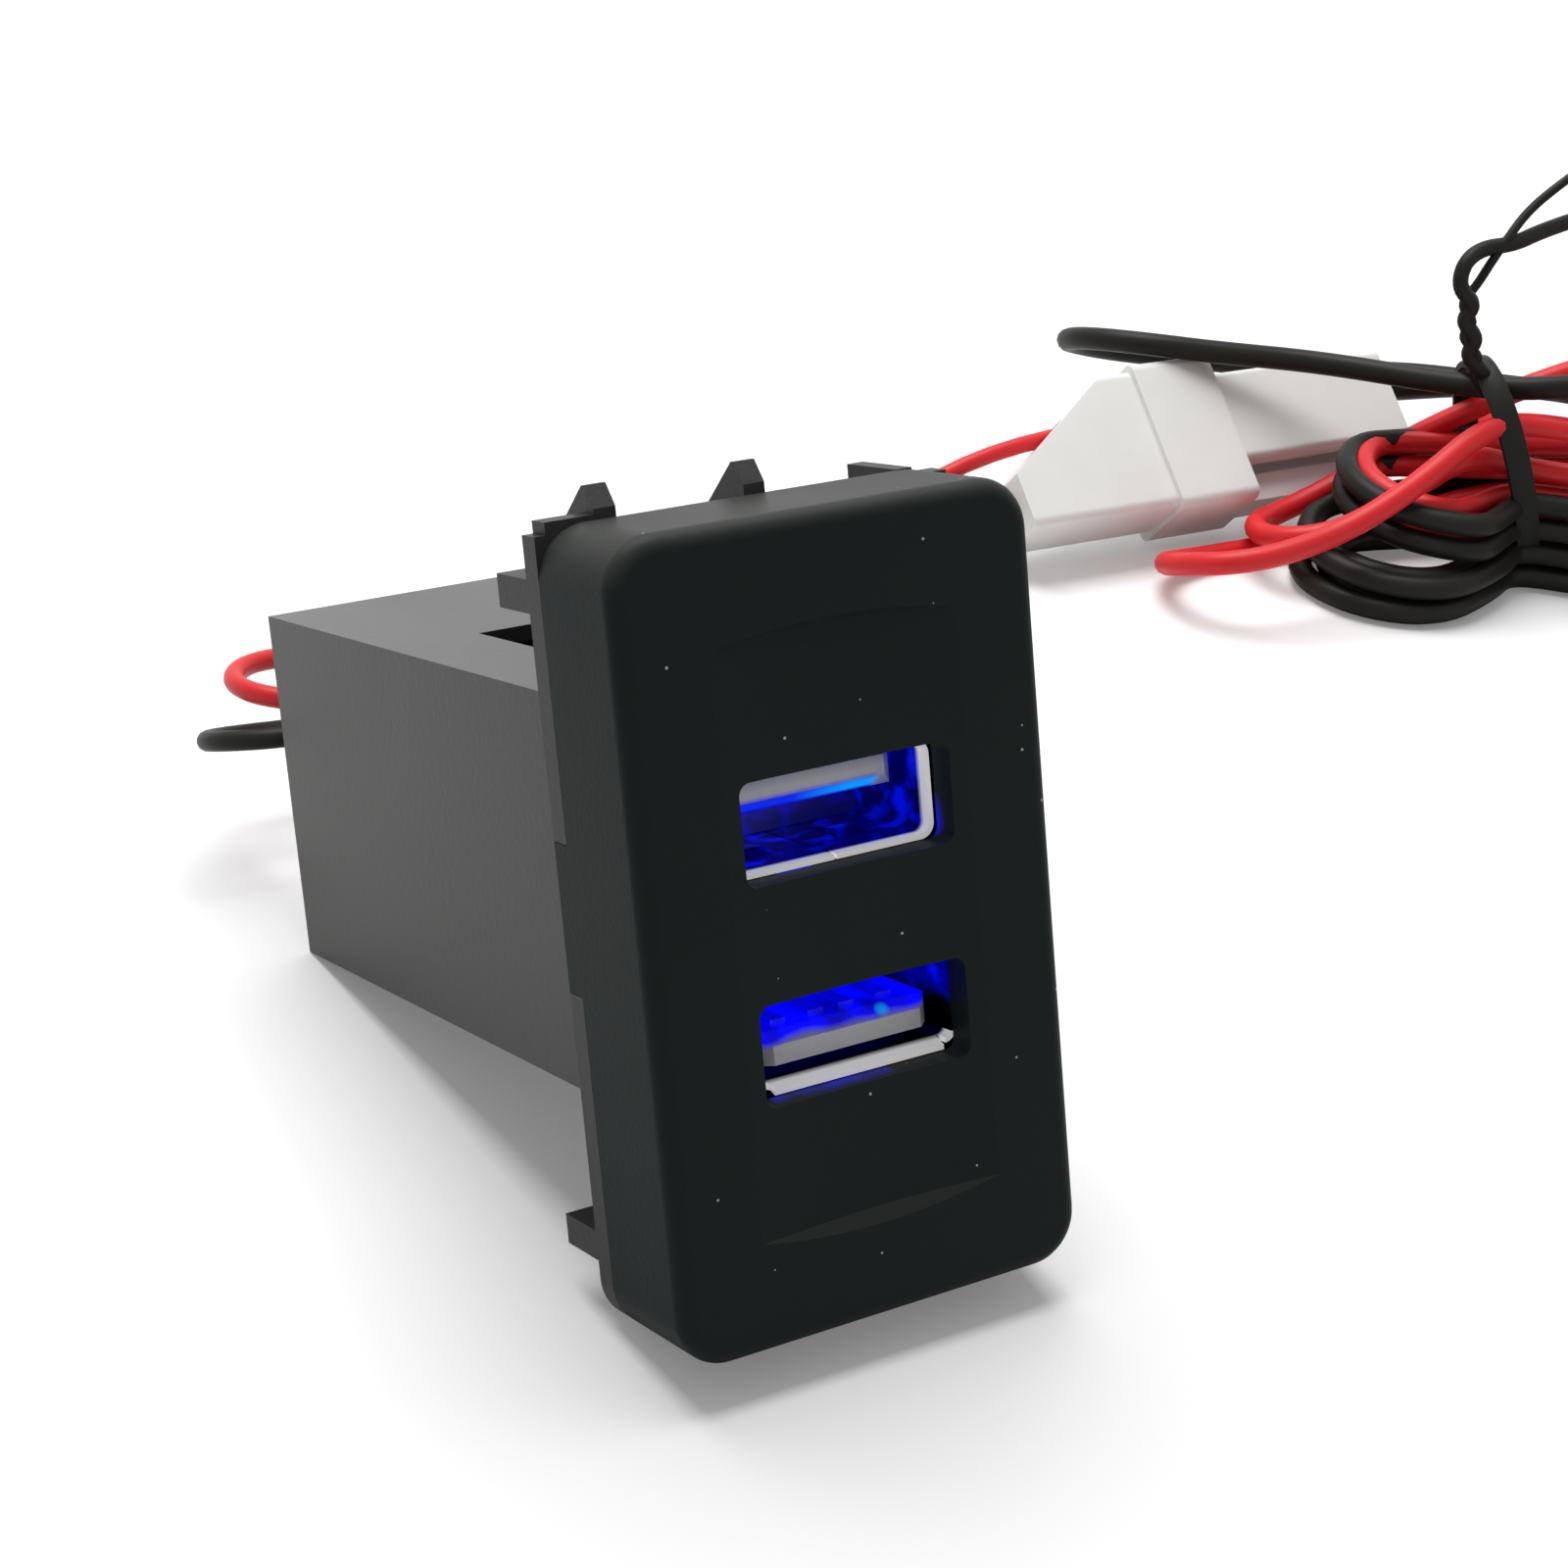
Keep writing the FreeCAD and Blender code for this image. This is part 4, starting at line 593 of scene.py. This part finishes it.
black_harness_route += [
    hank_place(19, -8.4, 20.6, middle),
    hank_place(8, -5.4, 20.2, middle),
    hank_place(0, -1.8, 17.4, middle),
    on_table(108.8, 69.4, 16.8),
    (0.1028, 0.0716, 0.0155),
    (0.0946, 0.0758, 0.0172),
    (0.0880, 0.0792, 0.0188),
    (0.0858, 0.0850, 0.0194),
    (0.0880, 0.0912, 0.0187),
    (0.0948, 0.0930, 0.0169),
    (0.1024, 0.0888, 0.0152),
    (0.1086, 0.0846, 0.0138),
    (0.1140, 0.0806, 0.0130),
    (0.1189, 0.0745, 0.0123),
    hank_place(4, 10.0, 13.4, middle),
    hank_place(11, 10.4, 13.9, middle),
    hank_place(22, 10.7, 14.4, middle),
    hank_place(36, 11.0, 15.0, middle),
]
black_harness = lay_wire("black_harness", black_harness_route, harness_diameter)
red_vinyl.cover(red_harness)
black_vinyl.cover(black_harness)
for wire in (red_harness, black_harness):
    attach(wire, "root")
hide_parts("harness_red", "harness_hank")
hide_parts("harness_black", "harness_loop")

# Twist tie: a steel wire in a flat black plastic strip, wrapped once round the hank's waist and twisted on
# top into a stem. Its two tails part round a small eye and stand off to the right.
strip_plastic = Finish("soft black strip", (0.012, 0.012, 0.010), 0.45, specular=0.15)
strip_wear = strip_plastic.noise(260.0, 3.0)
strip_plastic.set("Base Color", strip_plastic.blend(strip_wear, (0.006, 0.006, 0.005), (0.015, 0.015, 0.013)))
strip_plastic.set("Roughness", strip_wear * 0.2 + 0.35)
strip_plastic.bump(strip_plastic.noise(1500.0, 2.0), 0.00001)
strip_width, strip_gauge = 0.0022, 0.0006
band_half_height, band_half_width = 0.0100, 0.0068
bpy.ops.mesh.primitive_cylinder_add(vertices=64, radius=1.0, depth=strip_width, end_fill_type="NOTHING")
band = bpy.context.object
band.name = "tie_band"
band_oval = Matrix.Diagonal((band_half_height, band_half_width, 1.0, 1.0))
band_axes = Matrix.Rotation(lean, 4, "X") @ Matrix.Rotation(math.radians(-22), 4, "Z")
band_axes = band_axes @ Matrix.Rotation(math.radians(-18), 4, "Y") @ Matrix.Rotation(math.radians(90), 4, "Y")
band_axes = Matrix.Translation(on_table(113.0, tie_back, 9.5)) @ band_axes @ band_oval
band.data.transform(band_axes)
thick = band.modifiers.new("strip thickness", "SOLIDIFY")
thick.thickness = strip_gauge
thick.offset = 1.0
bpy.ops.object.modifier_apply(modifier=thick.name)
soft_edge = band.modifiers.new("rounded edges", "BEVEL")
soft_edge.width = 0.00015
soft_edge.segments = 2
soft_edge.limit_method = "ANGLE"
bpy.ops.object.modifier_apply(modifier=soft_edge.name)
bpy.ops.object.shade_smooth_by_angle(angle=math.radians(40))


def tie_place(across, height, out=0.0):
    """A place over the top of the tie, in millimetres, with out towards the camera."""
    return on_table(110.88 + across, tie_back - out, 18.65 + height)


thick_tail_route = [
    tie_place(-0.6, -1.6, 0.0),
    tie_place(-1.7, 0.6, 0.5),
    tie_place(-3.6, 2.0, -0.5),
    tie_place(-3.4, 4.0, 0.5),
    tie_place(-4.9, 5.4, -0.4),
    tie_place(-4.4, 7.2, 0.5),
    tie_place(-6.5, 8.8, 0.2),
    tie_place(-6.2, 11.0, 0.0),
    tie_place(-3.8, 12.0, -0.4),
    tie_place(-0.9, 12.2, 0.3),
    tie_place(2.6, 13.0, 0.0),
    tie_place(6.4, 13.6, 0.0),
]
thin_tail_route = [
    tie_place(-1.4, -1.6, 0.4),
    tie_place(-2.9, 0.6, -0.5),
    tie_place(-2.4, 2.0, 0.5),
    tie_place(-4.8, 4.0, -0.5),
    tie_place(-3.8, 5.4, 0.4),
    tie_place(-5.6, 7.0, -0.3),
    tie_place(-4.0, 8.6, -0.2),
    tie_place(-3.0, 10.6, 0.0),
    tie_place(-2.2, 12.4, 0.4),
    tie_place(0.6, 14.8, -0.3),
    tie_place(3.6, 17.0, 0.0),
    tie_place(6.4, 18.4, 0.0),
]
thick_gauge, thin_gauge = 0.0014, 0.0008
thick_tail = lay_wire("tie_thick_tail", thick_tail_route, thick_gauge)
thin_tail = lay_wire("tie_thin_tail", thin_tail_route, thin_gauge)
for piece in (band, thick_tail, thin_tail):
    strip_plastic.cover(piece)
    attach(piece, "root")
    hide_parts("wire_tie")

# Table and light. The socket and its lead lie on a white table, which leans under the upright socket; it
# keeps their soft shadows and is clear from below. One broad lamp hangs overhead, and the white room fills
# the rest.
table_size, table_level = 6.0, -0.02305
bpy.ops.mesh.primitive_plane_add(size=table_size, location=(0, 0, table_level), rotation=(lean, 0, 0))
table = bpy.context.object
table.name = "table"
table_white = Finish("white table", (0.86, 0.86, 0.86), 0.9, specular=0.0)
to_camera = table_white.node("ShaderNodeLightPath", {}, {}, "Is Camera Ray")
table_white.set("Emission Color", table_white.blend(to_camera, (0.0, 0.0, 0.0), (0.16, 0.16, 0.16)))
table_white.set("Emission Strength", 1.0)
from_below = table_white.node("ShaderNodeNewGeometry", {}, {}, "Backfacing")
clear = table_white.node("ShaderNodeBsdfTransparent", {}, {})
surface = Socket(table_white, table_white.shader.outputs[0])
mixed = table_white.node("ShaderNodeMixShader", {}, {0: from_below, 1: surface, 2: clear})
table_white.fill(table_white.tree.nodes["Material Output"].inputs["Surface"], mixed)
table_white.cover(table)

room_fill, room_white = 0.30, 1.0
world = bpy.data.worlds.new("white room")
bpy.context.scene.world = world
world.use_nodes = True
room = world.node_tree
paths = room.nodes.new("ShaderNodeLightPath")
seen = room.nodes.new("ShaderNodeMath")
seen.operation = "MAXIMUM"
room.links.new(paths.outputs["Is Camera Ray"], seen.inputs[0])
room.links.new(paths.outputs["Is Glossy Ray"], seen.inputs[1])
seen_through = room.nodes.new("ShaderNodeMath")
seen_through.operation = "MAXIMUM"
room.links.new(seen.outputs[0], seen_through.inputs[0])
room.links.new(paths.outputs["Is Transmission Ray"], seen_through.inputs[1])
strength = room.nodes.new("ShaderNodeMapRange")
strength.inputs["To Min"].default_value = room_fill
strength.inputs["To Max"].default_value = room_white
room.links.new(seen_through.outputs[0], strength.inputs["Value"])
room.nodes["Background"].inputs["Color"].default_value = (1.0, 1.0, 1.0, 1.0)
room.links.new(strength.outputs[0], room.nodes["Background"].inputs["Strength"])

lamp_height, lamp_size, lamp_power = 0.65, 0.5, 4.8
bpy.ops.object.light_add(type="AREA", location=(0.05, 0.05, lamp_height))
overhead = bpy.context.object
overhead.name = "overhead_lamp"
overhead.data.shape = "SQUARE"
overhead.data.size = lamp_size
overhead.data.energy = lamp_power
bpy.context.scene.view_settings.view_transform = "Standard"
